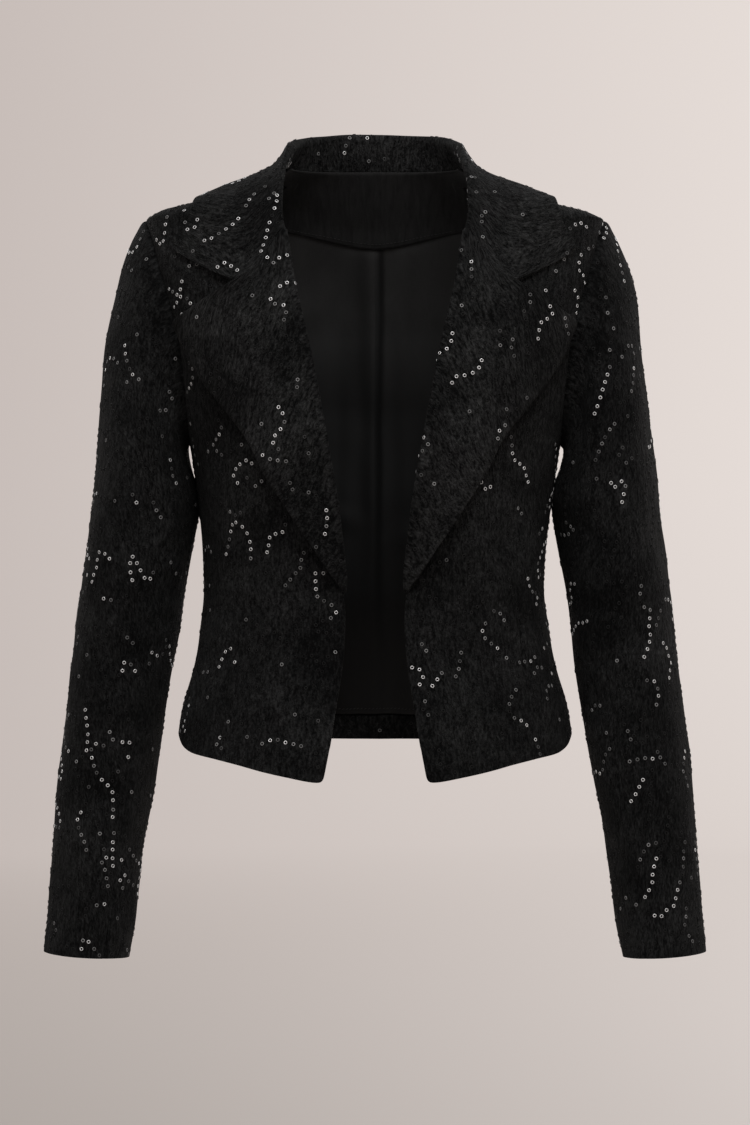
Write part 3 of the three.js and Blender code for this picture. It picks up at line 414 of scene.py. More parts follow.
# The body of one front: places, normals and cloth coordinates
def frontBody(side, levels):
    places, normals, cloth = [], [], []
    for z in levels:
        edgeZ = droppedZ(z, frontEdgeOut(z), True)
        start = float(turnAtOut(frontEdgeOut(edgeZ), z))
        end = float(outerTurn(z, True))
        turns, wanted, whole = turnsAlong(start, end, z, lambda w, at: frontLengths(z, w, at))
        low = droppedZ(z, bodyForm(turns, np.full(len(turns), z))[:, 0], True)
        place, normal = drapedBody(turns, low, side)
        topZ = frontShape["dartTopZ"]
        deep = frontShape["dartDeep"] * smoothStep(topZ + 8, topZ - 26, z)
        aside = wanted - wanted[-frontShape["columnsPastDart"]]
        groove = dartGroove(aside, deep, frontShape["dartWide"], frontShape["ridgeWide"])
        seam = seamDip(whole - wanted)
        if z > gorgeZ:
            seam = seam + seamDip(wanted)
        places.append(place - normal * (groove + seam)[:, None])
        normals.append(normal)
        cloth.append(np.stack([frontEdgeOut(z) + wanted, low], -1))
    return [np.array(rows) for rows in (places, normals, cloth)]


lapelShape = {
    "edge": [
        (0, 26, -361), (0.19, 61, -301), (0.38, 86, -262), (0.5, 98, -237), (0.63, 118.5, -208),
        (0.76, 135, -186), (0.9, 152, -154), (1, 160, -133),
    ],
    "turn": [(0, 60), (0.1, 120), (0.21, 150), (0.31, 172), (0.45, 180), (1, 180)],
    "lift": [(0, 3), (0.1, 11), (0.21, 10.5), (0.31, 8.5), (0.45, 7.5), (1, 10)],
    "notch": (115, -104),
    "notchShare": 0.6,
    "foldWide": 5,
    "gorgeSag": 7,
    "facingGap": 0.36,
    "facingThick": 1.6,
    "foldCells": 8,
    "fallCells": 25,
    "holdFrom": (0.12, 0.42),
    "bulge": 1.2,
    "edgeCurl": (0.25, 1.25),
    "edgeReach": 0.9,
    "stripColumns": 11,
    "grainTilt": 33,
    "waveLong": 46,
    "waveDeep": 0.55,
    "tipRound": 2.5,
}
lapelX = curveThrough(lapelShape["edge"], 1)
lapelZ = curveThrough(lapelShape["edge"], 2)
lapelTurnAt = curveThrough(lapelShape["turn"])
lapelLiftAt = curveThrough(lapelShape["lift"])


def onFront(x, z, lift):
    turn = turnAtOut(x, z)
    return bodyForm(turn, z) + formNormal(turn, z) * np.asarray(lift)[..., None]


# Lengths down a grid's columns and along its rows
def lengthsDown(grid):
    return np.cumsum(np.linalg.norm(np.diff(grid, axis=0, prepend=grid[:1]), axis=-1), axis=0)


def lengthsAcross(grid):
    return np.cumsum(np.linalg.norm(np.diff(grid, axis=1, prepend=grid[:, :1]), axis=-1), axis=1)


# A grid with one corner rounded; the corner is named by its row and column, 0 or -1 each.
def roundedCorner(grid, cornerRow, cornerColumn, radius, reach=6):
    turned = grid[::-1] if cornerRow else grid
    turned = (turned[:, ::-1] if cornerColumn else turned).copy()
    down, across = lengthsDown(turned), lengthsAcross(turned)
    p = np.clip(1 - down / radius, 0, 1)
    q = np.clip(1 - across / radius, 0, 1)
    shrink = 1 - np.maximum(p, q) / np.maximum(np.hypot(p, q), 1e-9)
    shrink = np.where((p > 0) & (q > 0), shrink, 0)
    inRows = unit(turned[reach : reach + 1] - turned[:1])
    inColumns = unit(turned[:, reach : reach + 1] - turned[:, :1])
    turned = turned + (inRows * p[..., None] + inColumns * q[..., None]) * (shrink * radius)[..., None]
    turned = turned[:, ::-1] if cornerColumn else turned
    return turned[::-1] if cornerRow else turned


# The turned side of a lapel, from the roll line to its edge: rows from the break to the gorge
def lapelGrid(levels, rollPlaces, rollNormals):
    along = (levels - breakZ) / (gorgeZ - breakZ)
    upwards = unit(np.gradient(rollPlaces, axis=0))
    inwards = unit(np.cross(upwards, rollNormals))
    inwards = inwards * np.where(inwards[:, :1] > 0, -1, 1)
    whole = np.radians(lapelTurnAt(along))
    radius = lapelShape["foldWide"] / 2
    columns = []
    for i in range(lapelShape["foldCells"] + 1):
        angle = (whole * i / lapelShape["foldCells"])[:, None]
        off, inside = radius * (1 - np.cos(angle)), radius * np.sin(angle)
        columns.append(rollPlaces + rollNormals * off + inwards * inside)
    foldEnd = columns[-1]
    edgeX, edgeZ = lapelX(along), lapelZ(along)
    tip = onFront(edgeX, edgeZ, lapelLiftAt(along))
    hold = smoothStep(*lapelShape["holdFrom"], along)[:, None]
    bend = along**5
    notchX, notchZ = lapelShape["notch"]
    rollX, rollZ = rollPlaces[:, 0], rollPlaces[:, 2]
    fall = lapelShape["fallCells"]
    shares = [i / fall for i in range(1, fall)] + [1 - 0.35 / fall, 1]
    for t in shares:
        toNotch = min(1, t / lapelShape["notchShare"])
        past = max(0, (t - lapelShape["notchShare"]) / (1 - lapelShape["notchShare"]))
        bentX = mix(notchX, edgeX, past) if past > 0 else mix(rollX, notchX, toNotch)
        bentZ = mix(notchZ, edgeZ, past) if past > 0 else mix(rollZ, notchZ, toNotch)
        x = mix(mix(rollX, edgeX, t), bentX, bend)
        sag = lapelShape["gorgeSag"] * math.sin(math.pi * toNotch)
        z = mix(mix(rollZ, edgeZ, t), bentZ, bend) - bend * sag
        bulge = lapelShape["bulge"] * math.sin(math.pi * t)
        lift = mix(lapelShape["foldWide"], lapelLiftAt(along), t * t) + bulge
        columns.append(mix(mix(foldEnd, tip, t), onFront(x, z, lift), hold))
    grid = np.stack(columns, 1)
    shrink = smoothStep(0, 0.045, along)[:, None, None]
    grid = mix(rollPlaces[:1, None], grid, np.maximum(shrink, 1e-3))
    grid[:, 0] = rollPlaces
    return roundedCorner(grid, -1, -1, lapelShape["tipRound"])


# Cloth coordinates of a turned layer: lengths along its rows and columns, with its grain tilted
def measuredCloth(grid, tilt=0.0):
    across = lengthsAcross(grid)
    up = np.broadcast_to(lengthsAlong(grid[:, grid.shape[1] // 2])[:, None], across.shape)
    angle = math.radians(tilt)
    return np.stack([
        across * math.cos(angle) + up * math.sin(angle),
        up * math.cos(angle) - across * math.sin(angle),
    ], -1)


sleeveShape = {
    # height, middle across, half width, middle depth, half depth
    "rings": [
        (-665, 243.9, 33.6, -26, 42), (-632, 240, 35.4, -20, 44.5), (-588, 235, 37.8, -14, 47),
        (-540, 229.4, 40, -8, 49.5), (-487, 223.1, 42, -2, 52), (-430, 215.4, 43, 3, 54.5),
        (-385, 210, 43.8, 6, 57), (-330, 202.6, 44.4, 5, 59.5), (-283, 195.2, 45.1, 2, 62),
    ],
    "seamTurns": (60, 285),
    "round": 50,
    "cuffTurn": 26,
    # turn in degrees, height, to turn, to height, depth, width, bow
    "foldsLeft": [
        (95, -140, 38, -292, 5.2, 13, 4),
        (120, -165, 70, -330, 2.6, 14, -5),
        (262, -140, 318, -300, 4.6, 13, 4),
        (232, -190, 285, -350, 2.4, 14, 4),
        (25, -352, 118, -388, 3.0, 11, 5),
        (40, -420, 140, -398, 2.4, 12, -4),
        (225, -372, 330, -348, 2.7, 12, 4),
        (215, -415, 325, -440, 2.3, 12, -5),
        (60, -520, 130, -560, 1.7, 14, 4),
        (240, -560, 300, -520, 1.7, 14, -4),
        (30, -300, 96, -330, 2.2, 9, -3),
        (20, -378, 84, -366, 1.8, 8, 3),
        (70, -452, 20, -470, 1.6, 9, 3),
        (100, -600, 150, -640, 1.2, 11, 3),
        (310, -470, 250, -486, 1.5, 11, -3),
        (150, -300, 190, -372, 1.2, 15, 5),
        (185, -420, 160, -500, 1.1, 15, -4),
        (10, -560, 60, -602, 1.4, 10, 3),
    ],
    "foldsRight": [
        (98, -132, 42, -280, 5.0, 13, -3),
        (124, -176, 76, -318, 2.8, 13, 5),
        (258, -146, 314, -310, 4.4, 13, -4),
        (236, -184, 290, -340, 2.5, 14, 5),
        (22, -360, 112, -380, 2.8, 11, -4),
        (36, -412, 136, -410, 2.6, 12, 4),
        (222, -366, 326, -356, 2.6, 12, -4),
        (218, -424, 322, -432, 2.4, 12, 5),
        (66, -510, 126, -552, 1.8, 14, -3),
        (246, -566, 302, -528, 1.6, 14, 4),
        (28, -308, 90, -340, 2.0, 9, 3),
        (24, -386, 88, -392, 1.9, 8, -3),
        (74, -460, 26, -482, 1.5, 9, -3),
        (104, -606, 148, -634, 1.3, 11, -3),
        (306, -476, 252, -494, 1.6, 11, 3),
        (154, -310, 186, -380, 1.3, 15, -5),
        (182, -430, 164, -506, 1.0, 15, 4),
        (14, -552, 64, -590, 1.3, 10, -3),
    ],
    # how strongly the cap leaves the armhole and comes into the sleeve, at the underarm and the top
    "capLeave": {"out": (34, 93), "up": (-14, -45), "ahead": -25},
    "capArrive": {"out": (-2, 25), "up": (-50, -230)},
    "headFull": 1.6,
    "cuffSlant": 2.2,
    "drapeWave": 64,
    "drapeDeep": 0.8,
    "puckerWave": 20,
    "puckerDeep": 0.2,
}
ringCurves = [curveThrough(sleeveShape["rings"], column) for column in (1, 2, 3, 4)]
capZ = sleeveShape["rings"][-1][0]
cuffZ = sleeveShape["rings"][0][0]


# The plain sleeve: level 0 to 1 runs from the armhole to the first full ring, 1 to 2 to the cuff.
def sleeveForm(turn, level):
    cosine, sine = np.cos(turn), np.sin(turn)
    z = mix(capZ, cuffZ, np.clip(level - 1, 0, 1))
    midX, wide, midY, deep = [curve(z) for curve in ringCurves]
    ring = asPoints(midX - wide * cosine, midY - deep * sine, z)
    rise = (1 - cosine) / 2
    startZ = armholeMidZ - armholeTall * cosine
    startTurn = np.where(sine > 0, outerTurn(startZ, True), outerTurn(startZ, False))
    start = bodyForm(startTurn, startZ)
    leave, arrive = sleeveShape["capLeave"], sleeveShape["capArrive"]
    leave = asPoints(mix(*leave["out"], rise), leave["ahead"] * sine, mix(*leave["up"], rise))
    arrive = asPoints(mix(*arrive["out"], rise), 0, mix(*arrive["up"], rise))
    t = np.clip(level, 0, 1)[..., None]
    cap = (
        start * (1 + 2 * t) * (1 - t) ** 2
        + leave * t * (1 - t) ** 2
        + ring * t * t * (3 - 2 * t)
        + arrive * t * t * (t - 1)
    )
    return np.where(level[..., None] < 1, cap, ring)


def drapedSleeve(turn, level, side):
    plain = sleeveForm(turn, level)
    along = sleeveForm(turn + 0.01, level) - sleeveForm(turn - 0.01, level)
    low, high = np.maximum(level - 0.01, 0), level + 0.01
    down = sleeveForm(turn, np.minimum(high, 2)) - sleeveForm(turn, low)
    normal = unit(np.cross(along, -down))
    across = (turn % (2 * math.pi)) * sleeveShape["round"]
    folds = sleeveShape["foldsLeft"] if side > 0 else sleeveShape["foldsRight"]
    reach = math.radians(1) * sleeveShape["round"]
    folds = [(f * reach, g, t * reach, h, deep, wide, bow) for f, g, t, h, deep, wide, bow in folds]
    ease = smoothStep(0.02, 0.3, level)
    fore = np.clip(level - 1, 0, 1) ** 6
    deep = foldDepth(across, plain[..., 2], folds) * ease
    plain = plain - np.array([0, 0, 1]) * (sleeveShape["cuffSlant"] * np.cos(turn) * fore)[..., None]
    real = onSide(plain, side)
    drape = softWaves(real, seeds["sleeveDrape"], sleeveShape["drapeWave"], (1, 1, 1.6))
    pucker = softWaves(real, seeds["sleevePucker"], sleeveShape["puckerWave"], (1, 1, 2.2))
    waves = drape * sleeveShape["drapeDeep"] + pucker * sleeveShape["puckerDeep"]
    head = sleeveShape["headFull"] * np.clip(-np.cos(turn), 0, 1) * bump(level - 0.035, 0.03)
    lift = waves * ease - deep + head
    return plain + normal * lift[..., None], normal


collarShape = {
    # at, roll, middle and edge of the fall
    "stations": [
        (0, 77.5, -80.6, -61.5, 115, -95, -104, 169, -66, -76),
        (0.125, 78.7, -75.2, -50.2, 113.8, -91.8, -91.5, 165.8, -66, -70),
        (0.3, 79, -69.5, -42, 112, -87, -72, 161, -66, -61),
        (0.55, 78, -54, -21, 107, -75, -45, 152.5, -60, -47),
        (0.8, 73.5, -29, 2.5, 100, -44, -21, 145, -36, -34),
        (1, 67, 0, 18, 91, 0, -3.5, 137, 0, -25),
        (1.35, 56, 25, 25.5, 76, 37, -0.5, 112, 48, -21),
        (1.7, 32, 43, 30.5, 43, 56, 3, 64, 66, -18),
        (2, 0, 48.5, 31.5, 0, 62, 4, 0, 70, -17),
    ],
    "neckLevels": [
        (0, -61.46), (0.125, -52.17), (0.25, -49), (0.375, -44.5), (0.5, -38),
        (0.625, -29), (0.75, -19), (0.875, -9), (1, 0),
    ],
    "thick": 2.6,
    "rollRadius": 3.4,
    "standCells": 7,
    "foldCells": 9,
    "fallCells": 20,
    "middleShare": 0.6,
    "notchReach": 0.7,
    "clear": 4.3,
    "waveLong": 42,
    "waveDeep": 0.45,
    "pointRound": 6.5,
}
collarCurves = [curveThrough(collarShape["stations"], column) for column in range(1, 10)]
neckLevelAt = curveThrough(collarShape["neckLevels"])


# How far places stand off the plain body, with the way out
def standOff(places):
    def value(spots):
        half, front, back, square = sectionAt(spots[..., 2])
        half = np.maximum(1, half)
        reach = np.maximum(1, np.where(spots[..., 1] < 0, front, back))
        across = np.abs(spots[..., 0] / half) ** square
        return (across + np.abs(spots[..., 1] / reach) ** square) ** (1 / square) - 1

    slopes = []
    for axis in np.eye(3):
        slopes.append((value(places + 0.2 * axis) - value(places - 0.2 * axis)) / 0.4)
    way = np.stack(slopes, -1)
    steep = np.maximum(1e-6, np.linalg.norm(way, axis=-1))
    return value(places) / steep, unit(way)


def liftClear(places, clear):
    for _ in range(4):
        away, way = standOff(places)
        places = places + way * (np.maximum(0, clear - away) * 0.9)[..., None]
    return places


# One half of the collar, rows from the gorge to the centre back, columns up the stand and down the fall
def collarHalf(ats, seamFold, seamFall):
    frontZ = neckLevelAt(np.minimum(ats, 1))
    frontTurn = turnAtOut(frontEdgeOut(frontZ), frontZ)
    backTurns = np.linspace(quarterTurn, math.pi, 200)
    backLine = bodyForm(backTurns, np.zeros(200))
    lengths = lengthsAlong(backLine)
    backTurn = np.interp(np.clip(ats - 1, 0, 1) * lengths[-1], lengths, backTurns)
    turn = np.where(ats <= 1, frontTurn, backTurn)
    z = np.where(ats <= 1, frontZ, 0)
    neck, neckNormal = bodyForm(turn, z), formNormal(turn, z)
    roll, middle, edge = [np.stack([c(ats) for c in collarCurves[i : i + 3]], -1) for i in (0, 3, 6)]
    rise = unit(roll - neck)
    outwards = unit(neckNormal - rise * (neckNormal * rise).sum(-1, keepdims=True))
    radius = mix(lapelShape["foldWide"] / 2, collarShape["rollRadius"], np.minimum(1, ats))[:, None]
    tall = np.linalg.norm(roll - neck, axis=-1, keepdims=True)
    base = roll - rise * np.minimum(radius, tall * 0.5)
    columns = [neck]
    stand = collarShape["standCells"]
    for i in range(1, stand):
        columns.append(mix(neck, base, i / stand))
    for i in range(collarShape["foldCells"] + 1):
        angle = math.pi * i / collarShape["foldCells"]
        off, up = radius * (1 - math.cos(angle)), radius * math.sin(angle)
        columns.append(base + outwards * off + rise * up)
    foldEnd = columns[-1]
    share = collarShape["middleShare"]
    toMiddleLong = np.linalg.norm(foldEnd - middle, axis=-1, keepdims=True)
    bowShare = toMiddleLong / (toMiddleLong + np.linalg.norm(middle - edge, axis=-1, keepdims=True))
    bow = middle - mix(foldEnd, edge, bowShare)
    rounded = np.minimum(1, ats / collarShape["notchReach"])[:, None]
    fall = collarShape["fallCells"]
    for t in [i / fall for i in range(1, fall)] + [1 - 0.35 / fall, 1]:
        curved = mix(foldEnd, edge, t) + bow * (t * (1 - t)) / (bowShare * (1 - bowShare))
        toMiddle = min(1, t / share)
        past = max(0, (t - share) / (1 - share))
        cornered = mix(mix(foldEnd, middle, toMiddle), edge, past)
        cornered = cornered - np.array([0, 0, lapelShape["gorgeSag"] * math.sin(math.pi * toMiddle)])
        columns.append(liftClear(mix(cornered, curved, rounded), collarShape["clear"]))
    grid = np.stack(columns, 1)
    tip = grid[0, -1]
    first = np.repeat(seamFold[:1], stand, 0)
    toNotch = resampled(seamFall, round(fall * share) + 1)[1:]
    fromLapel = np.concatenate([resampled(seamFold, collarShape["foldCells"] + 1), toNotch])
    left = grid.shape[1] - stand - len(fromLapel)
    toTip = np.stack([mix(fromLapel[-1], tip, (i + 1) / left) for i in range(left)])
    gorgeRow = np.concatenate([first, fromLapel, liftClear(toTip, collarShape["clear"])])
    weight = smoothStep(0.11, 0, ats)[:, None, None]
    return roundedCorner(mix(grid, gorgeRow[None], weight), 0, -1, collarShape["pointRound"])


# A line of points laid out again with a number of points, keeping each point's share by number
def resampled(line, count):
    return takenAt(np.linspace(0, len(line) - 1, count), np.arange(len(line)), line)


# Every piece alike: the shoulder ends stand a little higher than the plain form, the slope lower.
shoulderRise = {"out": 180, "inside": 17, "outside": 24, "high": 4.4, "fromZ": -125, "toZ": -42}
shoulderDip = {"out": 112, "wide": 30, "deep": 2.5}


def settled(places):
    out = np.abs(places[..., 0])
    share = smoothStep(shoulderRise["fromZ"], shoulderRise["toZ"], places[..., 2])
    away = out - shoulderRise["out"]
    wide = np.where(away < 0, shoulderRise["inside"], shoulderRise["outside"])
    rise = shoulderRise["high"] * bump(away, wide)
    dip = shoulderDip["deep"] * bump(out - shoulderDip["out"], shoulderDip["wide"])
    moved = places.copy()
    moved[..., 2] += (rise - dip) * share
    return moved


# Pieces of cloth
bothSides = ((1, "left"), (-1, "right"))


def placed(name, data):
    made = bpy.data.objects.new(name, data)
    bpy.context.scene.collection.objects.link(made)
    return made


def clothPiece(name, grids, thick, material, nodes=()):
    work = bmesh.new()
    clothLayer = work.loops.layers.uv.new("cloth")
    for places, cloth in grids:
        places = settled(places)
        rows, columns = places.shape[:2]
        made = bmesh.ops.create_grid(work, x_segments=columns - 1, y_segments=rows - 1, size=0.5)
        numbers = {}
        for vert in made["verts"]:
            column = round((vert.co.x + 0.5) * (columns - 1))
            row = round((vert.co.y + 0.5) * (rows - 1))
            numbers[vert] = (row, column)
        for face in {face for vert in made["verts"] for face in vert.link_faces}:
            for loop in face.loops:
                loop[clothLayer].uv = cloth[numbers[loop.vert]] * mm
        for vert, number in numbers.items():
            vert.co = places[number] * mm
    bmesh.ops.remove_doubles(work, verts=work.verts, dist=0.00002)
    mesh = bpy.data.meshes.new(name)
    work.to_mesh(mesh)
    work.free()
    mesh.shade_smooth()
    mesh.materials.append(material)
    piece = placed(name, mesh)
    smooth = piece.modifiers.new("smooth", "SUBSURF")
    smooth.levels = 1
    smooth.render_levels = 1
    wall = piece.modifiers.new("wall", "SOLIDIFY")
    wall.thickness = thick * mm
    wall.offset = 0
    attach(piece, "root")
    if nodes:
        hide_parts(*nodes)
    return piece


# A grid for the wearer's right: mirrored, with its columns turned round so that it still faces out
def mirrored(grid):
    return grid[:, ::-1] * np.array([-1, 1, 1])


def sided(places, cloth, side):
    if side > 0:
        return places, cloth
    return mirrored(places), cloth[:, ::-1] * np.array([-1, 1])


# Materials
class Value:
    def __init__(self, paint, socket):
        self.paint = paint
        self.socket = socket

    def maths(self, operation, first, second=0.0):
        made = self.paint.node("Math", {"operation": operation}, {0: first, 1: second})
        return Value(self.paint, made.outputs[0])

    def __add__(self, other):
        return self.maths("ADD", self, other)

    def __sub__(self, other):
        return self.maths("SUBTRACT", self, other)

    def __rsub__(self, other):
        return self.maths("SUBTRACT", other, self)

    def __mul__(self, other):
        return self.maths("MULTIPLY", self, other)

    def __truediv__(self, other):
        return self.maths("DIVIDE", self, other)

    def __pow__(self, other):
        return self.maths("POWER", self, other)

    def __abs__(self):
        return self.maths("ABSOLUTE", self)

    __radd__ = __add__
    __rmul__ = __mul__


class Paint:
    def __init__(self, name):
        self.material = bpy.data.materials.new(name)
        self.material.use_nodes = True
        self.tree = self.material.node_tree
        self.tree.nodes.clear()

    def node(self, kind, settings=None, sockets=None):
        made = self.tree.nodes.new("ShaderNode" + kind)
        for key, value in (settings or {}).items():
            if key == "stops":
                while len(made.color_ramp.elements) < len(value):
                    made.color_ramp.elements.new(0.5)
                for stop, (place, shade) in zip(made.color_ramp.elements, value):
                    stop.position = place
                    stop.color = (*shade, 1) if hasattr(shade, "__len__") else (shade, shade, shade, 1)
            else:
                setattr(made, key, value)
        for key, value in (sockets or {}).items():
            if isinstance(value, Value):
                self.tree.links.new(value.socket, made.inputs[key])
            else:
                made.inputs[key].default_value = value
        return made

    def value(self, kind, settings=None, sockets=None, output=0):
        return Value(self, self.node(kind, settings, sockets).outputs[output])

    def cloth(self, scale):
        source = self.value("UVMap", {"uv_map": "cloth"})
        return self.value("Mapping", {}, {"Vector": source, "Scale": scale})

    def place(self):
        return self.value("TexCoord", {}, {}, 3)

    def split(self, vector):
        made = self.node("SeparateXYZ", {}, {0: vector})
        return [Value(self, socket) for socket in made.outputs]

    def noise(self, vector, scale=1.0, detail=2.0, roughness=0.5, distortion=0.0):
        sockets = {"Vector": vector, "Scale": scale, "Detail": detail}
        return self.value("TexNoise", {}, {**sockets, "Roughness": roughness, "Distortion": distortion})

    def ramp(self, factor, stops):
        return self.value("ValToRGB", {"stops": stops}, {"Fac": factor})

    def blend(self, factor, first, second):
        settings = {"data_type": "RGBA"}
        return self.value("Mix", settings, {0: factor, 6: first, 7: second}, 2)

    def finish(self, sockets, height=None, strength=1.0, distance=0.001):
        if height is not None:
            bumps = {"Height": height, "Strength": strength, "Distance": distance}
            sockets = {**sockets, "Normal": self.value("Bump", {}, bumps)}
        shader = self.value("BsdfPrincipled", {}, sockets)
        self.node("OutputMaterial", {}, {"Surface": shader})
        return self.material


def grey(value):
    return (value, value, value, 1.0)


knitLook = {
    "dark": (0.0007, 0.00075, 0.0008),
    "light": (0.0195, 0.0200, 0.0201),
    # painted light: a lighter tone of the same knit for the collar and facings
    "paintedLitTone": (0.0285, 0.0290, 0.0290),
    "dimShare": 0.35,
    "streakScale": (430, 165, 1),
    "creaseScale": (175, 68, 1),
    "grainScale": (560, 400, 1),
    "bump": 1.0,
    "bumpDistance": 0.0016,
    "roughness": 0.86,
    "sheen": 0.02,
    "specular": 0.05,
}


def makeKnit(name, light):
    paint = Paint(name)
    streaks = paint.noise(paint.cloth(knitLook["streakScale"]), 1.0, 3.0, 0.65, 0.5)
    creases = paint.noise(paint.cloth(knitLook["creaseScale"]), 1.0, 2.0, 0.55, 0.8)
    grain = paint.noise(paint.cloth(knitLook["grainScale"]), 1.0, 3.0, 0.7, 0.3)
    broad = paint.noise(paint.place(), 18.0, 3.0, 0.55)
    ridges = paint.ramp(streaks, [(0.36, 0.0), (0.66, 1.0)])
    folds = paint.ramp(creases, [(0.34, 0.0), (0.66, 1.0)])
    specks = paint.ramp(grain, [(0.32, 0.0), (0.68, 1.0)])
    patches = paint.ramp(broad, [(0.35, 0.5), (0.65, 1.0)])
    height = ridges * 0.4 + folds * 0.7 + specks * 0.45
    # The tone rises with the crinkle's height, so pits are darkest and ridges lightest: partly the
    # knit's own streaky tone, partly painted shade in the hollows and painted light on the ridges
    tone = (ridges * 0.36 + folds * 0.26 + specks * 0.38) * patches + ridges * specks * 0.2
    dim = tuple(part * knitLook["dimShare"] for part in light)
    colour = paint.ramp(tone, [(0.22, knitLook["dark"]), (0.5, dim), (0.95, light)])
    return paint.finish(
        {
            "Base Color": colour,
            "Roughness": knitLook["roughness"] + (grain - 0.5) * 0.12,
            "Specular IOR Level": knitLook["specular"],
            "Sheen Weight": knitLook["sheen"],
            "Sheen Roughness": 0.45,
            "Sheen Tint": grey(0.55),
        },
        height, knitLook["bump"], knitLook["bumpDistance"],
    )


plainLook = {"dark": 0.0035, "light": 0.0092, "threads": 1250, "bump": 0.6, "roughness": 0.84}


def makePlain():
    paint = Paint("plainBlackWeave")
    threads = plainLook["threads"]
    warp = paint.noise(paint.cloth((threads, threads * 0.22, 1)), 1.0, 1.0)
    weft = paint.noise(paint.cloth((threads * 0.22, threads, 1)), 1.0, 1.0)
    mottle = paint.noise(paint.cloth((190, 48, 1)), 1.0, 3.0, 0.6, 0.6)
    tone = warp * 0.25 + weft * 0.25 + paint.ramp(mottle, [(0.35, 0.0), (0.65, 1.0)]) * 0.5
    colour = paint.ramp(tone, [(0.2, plainLook["dark"]), (0.8, plainLook["light"])])
    return paint.finish(
        {
            "Base Color": colour,
            "Roughness": plainLook["roughness"] + (mottle - 0.5) * 0.1,
            "Specular IOR Level": 0.15,
            "Sheen Weight": 0.04,
        },
        warp * 0.3 + weft * 0.3 + mottle * 0.9, plainLook["bump"], 0.0007,
    )


liningLook = {
    "dark": 0.0120,
    "light": 0.0250,
    "threads": 2600,
    "roughness": 0.6,
    "bump": 0.3,
    "specular": 0.08,
    "lowShade": 0.3,
    "midShade": 0.18,
    "leftShade": 0.2,
    "glowShade": 0.45,
    "pleatX": 3.4,
    "pleatShade": 0.7,
    "valleyX": -12,
    "valleyShade": 0.45,
}


# How light the lining is painted: painted shade low down and on the left, most in the hollow and the
# fold beside its centre pleat, and a painted lit band up high just left of the pleat
def liningShade(paint, drift, up):
    look = liningLook
    low, middle = look["lowShade"], look["midShade"]
    shades = [(0.0, low), (0.45, middle), (0.72, middle * 1.4), (0.92, 0.85), (1.0, 1.0)]
    height = paint.ramp(up * 2.9 + 1.3, shades)
    high = paint.ramp(up * 6.0 + 1.6, [(0.2, 0.0), (0.9, 1.0)])
    left = paint.ramp(drift / 40.0 + 0.6, [(0.0, look["leftShade"]), (0.95, 1.0)])
    left = left + (1.0 - left) * high
    paintedLitBand = paint.ramp(drift / 45.0 + 1.0, [(0.2, 0.0), (1.0, 1.0), (1.06, 0.0)])
    glow = paintedLitBand * high * look["glowShade"]
    fold = paint.ramp(abs(drift - (look["pleatX"] + 2.4)) / 4.2, [(0.25, 1.0), (1.0, 0.0)])
    valley = paint.ramp(abs(drift - look["valleyX"]) / 19.0, [(0.1, 1.0), (1.0, 0.0)])
    upper = paint.ramp(up * 3.2 + 1.3, [(0.0, 0.25), (0.6, 1.0)])
    shade = height * left * (1.0 + glow) * (1.0 - fold * upper * look["pleatShade"])
    return shade * (1.0 - valley * upper * look["valleyShade"])


def makeLining():
    paint = Paint("satinLining")
    threads = liningLook["threads"]
    warp = paint.noise(paint.cloth((threads, threads * 0.05, 1)), 1.0, 1.0)
    weft = paint.noise(paint.cloth((threads * 0.06, threads * 0.7, 1)), 1.0, 1.0)
    cloud = paint.noise(paint.cloth((26, 12, 1)), 1.0, 3.0, 0.55, 0.4)
    across, _, up = paint.split(paint.place())
    drift = across * 1000.0 + (cloud - 0.5) * 3.0
    tone = warp * 0.35 + weft * 0.2 + cloud * 0.5
    light = paint.ramp(tone, [(0.3, liningLook["dark"]), (0.8, liningLook["light"])])
    # The lining's own tone is blended towards near-black by the painted shade
    colour = paint.blend(liningShade(paint, drift, up), grey(0.001), light)
    return paint.finish(
        {
            "Base Color": colour,
            "Roughness": liningLook["roughness"] + (warp - 0.5) * 0.12,
            "Specular IOR Level": liningLook["specular"],
            "Sheen Weight": 0.03,
        },
        warp * 0.25 + weft * 0.15 + cloud * 0.9, liningLook["bump"], 0.0005,
    )


# Painted glints: rings with a high glint value get a silver base colour, metal and coat; the real
# sequins are all alike
sequinLook = {"dark": 0.0014, "paintedGlintColour": 0.66, "roughness": 0.5}


def makeSequin():
    paint = Paint("ringSequin")
    glint = paint.value("Attribute", {"attribute_name": "glint"}, {}, 2)
    scuff = paint.noise(paint.place(), 900.0, 2.0, 0.6)
    stops = [(0.0, sequinLook["dark"]), (1.0, sequinLook["paintedGlintColour"])]
    return paint.finish(
        {
            "Base Color": paint.ramp(glint * (0.9 + scuff * 0.2), stops),
            "Metallic": glint * 0.7,
            "Roughness": sequinLook["roughness"] - glint * 0.25 + scuff * 0.1,
            "Specular IOR Level": 0.1,
            "Coat Weight": glint * 0.6,
            "Coat Roughness": 0.12,
        },
        scuff, 0.2, 0.0001,
    )


def makeThread():
    paint = Paint("sewingThread")
    twist = paint.noise(paint.place(), 2400.0, 1.0, 0.5, 0.6)
    colour = paint.ramp(twist, [(0.3, 0.004), (0.8, 0.016)])
    return paint.finish(
        {"Base Color": colour, "Roughness": 0.6 + twist * 0.2, "Specular IOR Level": 0.3},
        twist, 0.5, 0.0002,
    )


knit = makeKnit("crinkledKnit", knitLook["light"])
